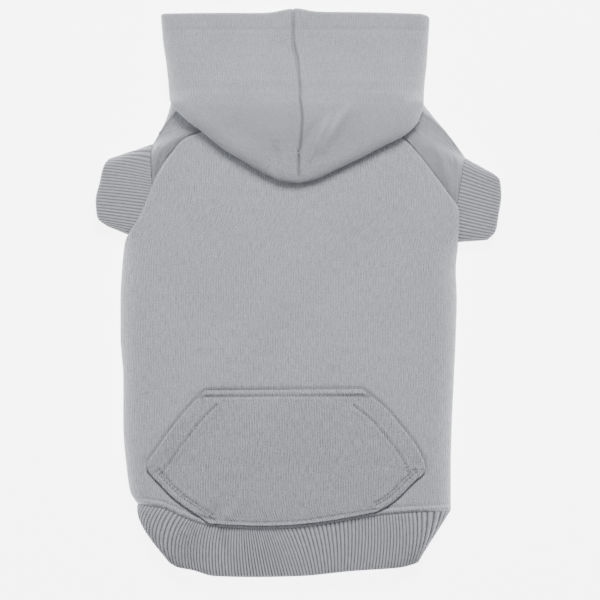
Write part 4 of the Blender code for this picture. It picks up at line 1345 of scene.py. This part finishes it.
def sew(name, lines, pitch, length):
    """Stitches along lines of 3-D points, as one plain mesh."""
    points, edges = [], []
    for line in lines:
        start = len(points)
        points += [tuple(p) for p in np.array(line) + SHIFT]
        edges += [(k, k + 1) for k in range(start, len(points) - 1)]
    mesh = bpy.data.meshes.new(name)
    mesh.from_pydata(points, edges, [])
    guide = shown(name + "_guide", mesh)
    modifier = guide.modifiers.new("stitches", "NODES")
    modifier.node_group = STITCHES
    keys = {i.name: i.identifier for i in STITCHES.interface.items_tree if i.in_out == "INPUT"}
    modifier[keys["Stitch Pitch"]] = pitch
    modifier[keys["Stitch Length"]] = length
    modifier[keys["Thread Width"]] = THREAD
    modifier[keys["Thread"]] = THREAD_GREY
    seen = guide.evaluated_get(bpy.context.evaluated_depsgraph_get())
    made = bpy.data.meshes.new_from_object(seen)
    made.name = name
    made.shade_smooth()
    obj = shown(name, made)
    bpy.data.objects.remove(guide, do_unlink=True)
    return obj


def on_pocket(line):
    """A plan line laid on the pocket's face, its thread sunk in a little."""
    grid = np.array([pocket_row(at) for at in np.linspace(len(POCKET_ROWS) - 1, 0, 100)])
    flat = grid.reshape(-1, 3)
    z = [flat[np.argmin((flat[:, 0] - x) ** 2 + (flat[:, 1] - y) ** 2), 2] for x, y in line]
    return np.column_stack([line, rounded(z, 4) - THREAD_SINK])


def on_back(line):
    """A plan line laid on the back."""
    x, y = line[:, 0], line[:, 1]
    return np.column_stack([x, y, back_height(x, y) + seam_dips(x, y)])


def declare(piece, node):
    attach(piece, "root")
    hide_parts(node)


STITCHES = stitch_tree()
back = make_back()
belly = make_belly()
band = make_band()
sleeves = [make_sleeve("sleeve_left_cloth", -1), make_sleeve("sleeve_right_cloth", 1)]
cuffs = [make_cuff("cuff_left_ribbing", -1), make_cuff("cuff_right_ribbing", 1)]
hoods = [make_hood("hood_left_cloth", -1), make_hood("hood_right_cloth", 1)]
pocket = make_pocket()

hem_row = aside(HEM_LINE, HEM_STITCH_DIP[0])
hem_rows = [on_back(hem_row[5:24]), on_back(hem_row[-32:-5])]  # the middle is under the pocket
turned = [on_pocket(line) for key, line in POCKET_LINES.items() if key[0] == "hem"]
edged = [on_pocket(line) for key, line in POCKET_LINES.items() if key[0] != "hem"]
sewn = [
    sew("pocket_hem_stitches", turned, TOP_STITCH, TOP_STITCH_LONG),
    sew("pocket_edge_stitches", edged, TOP_STITCH, TOP_STITCH_LONG),
    sew("hem_cover_stitches", hem_rows, COVER_STITCH, COVER_STITCH_LONG),
]

declare(back, "back_panel")
declare(belly, "belly_panel")
for k, word in enumerate(("left", "right")):
    declare(sleeves[k], "sleeve_" + word)
    declare(cuffs[k], "cuff_" + word)
    declare(hoods[k], "hood_" + word)
declare(band, "waistband")
declare(pocket, "pouch_pocket")
for piece in sewn:
    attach(piece, "root")


# Camera, light and floor.

VIEW_WIDTH = 0.372
LENS = 200.0
SENSOR = 36.0
LOOK_AT = (0.00093, -0.00496)
FLOOR_LEVEL = -0.0002
CLOTH_LEVEL = 0.014  # height at which the picture is as wide as VIEW_WIDTH
SKY_LIGHT = 0.42
FLOOR_GLOW = 5.5

camera_data = bpy.data.cameras.new("overhead")
camera_data.lens = LENS
camera_data.sensor_width = SENSOR
camera = shown("overhead", camera_data)
camera.location = (*LOOK_AT, VIEW_WIDTH * LENS / SENSOR + CLOTH_LEVEL)
bpy.context.scene.camera = camera


def softbox(name, spot, size, watts):
    """A square area light that faces the origin."""
    data = bpy.data.lights.new(name, "AREA")
    data.shape = "SQUARE"
    data.size = size
    data.energy = watts
    lamp = shown(name, data)
    lamp.location = spot
    lamp.rotation_euler = (-Vector(spot)).to_track_quat("-Z", "Y").to_euler()


softbox("top_softbox", (0.22, 1.15, 1.45), 0.7, 40)
softbox("left_softbox", (-1.2, 0.3, 1.4), 1.0, 5)

world = bpy.data.worlds.new("studio")
world.use_nodes = True
sky = world.node_tree.nodes["Background"]
sky.inputs["Color"].default_value = (1.0, 1.0, 1.0, 1)
sky.inputs["Strength"].default_value = SKY_LIGHT
bpy.context.scene.world = world

floor_mesh = bpy.data.meshes.new("floor")
floor_mesh.from_pydata(
    [(x, y, FLOOR_LEVEL) for x, y in ((-4, -4), (4, -4), (4, 4), (-4, 4))], [], [(0, 1, 2, 3)]
)
floor = shown("floor", floor_mesh)
paper = Finish(
    "white_paper", Roughness=0.9, Base_Color=(0.95, 0.95, 0.95, 1),
    Emission_Color=(1, 1, 1, 1), Emission_Strength=FLOOR_GLOW,
)
floor_mesh.materials.append(paper.material)
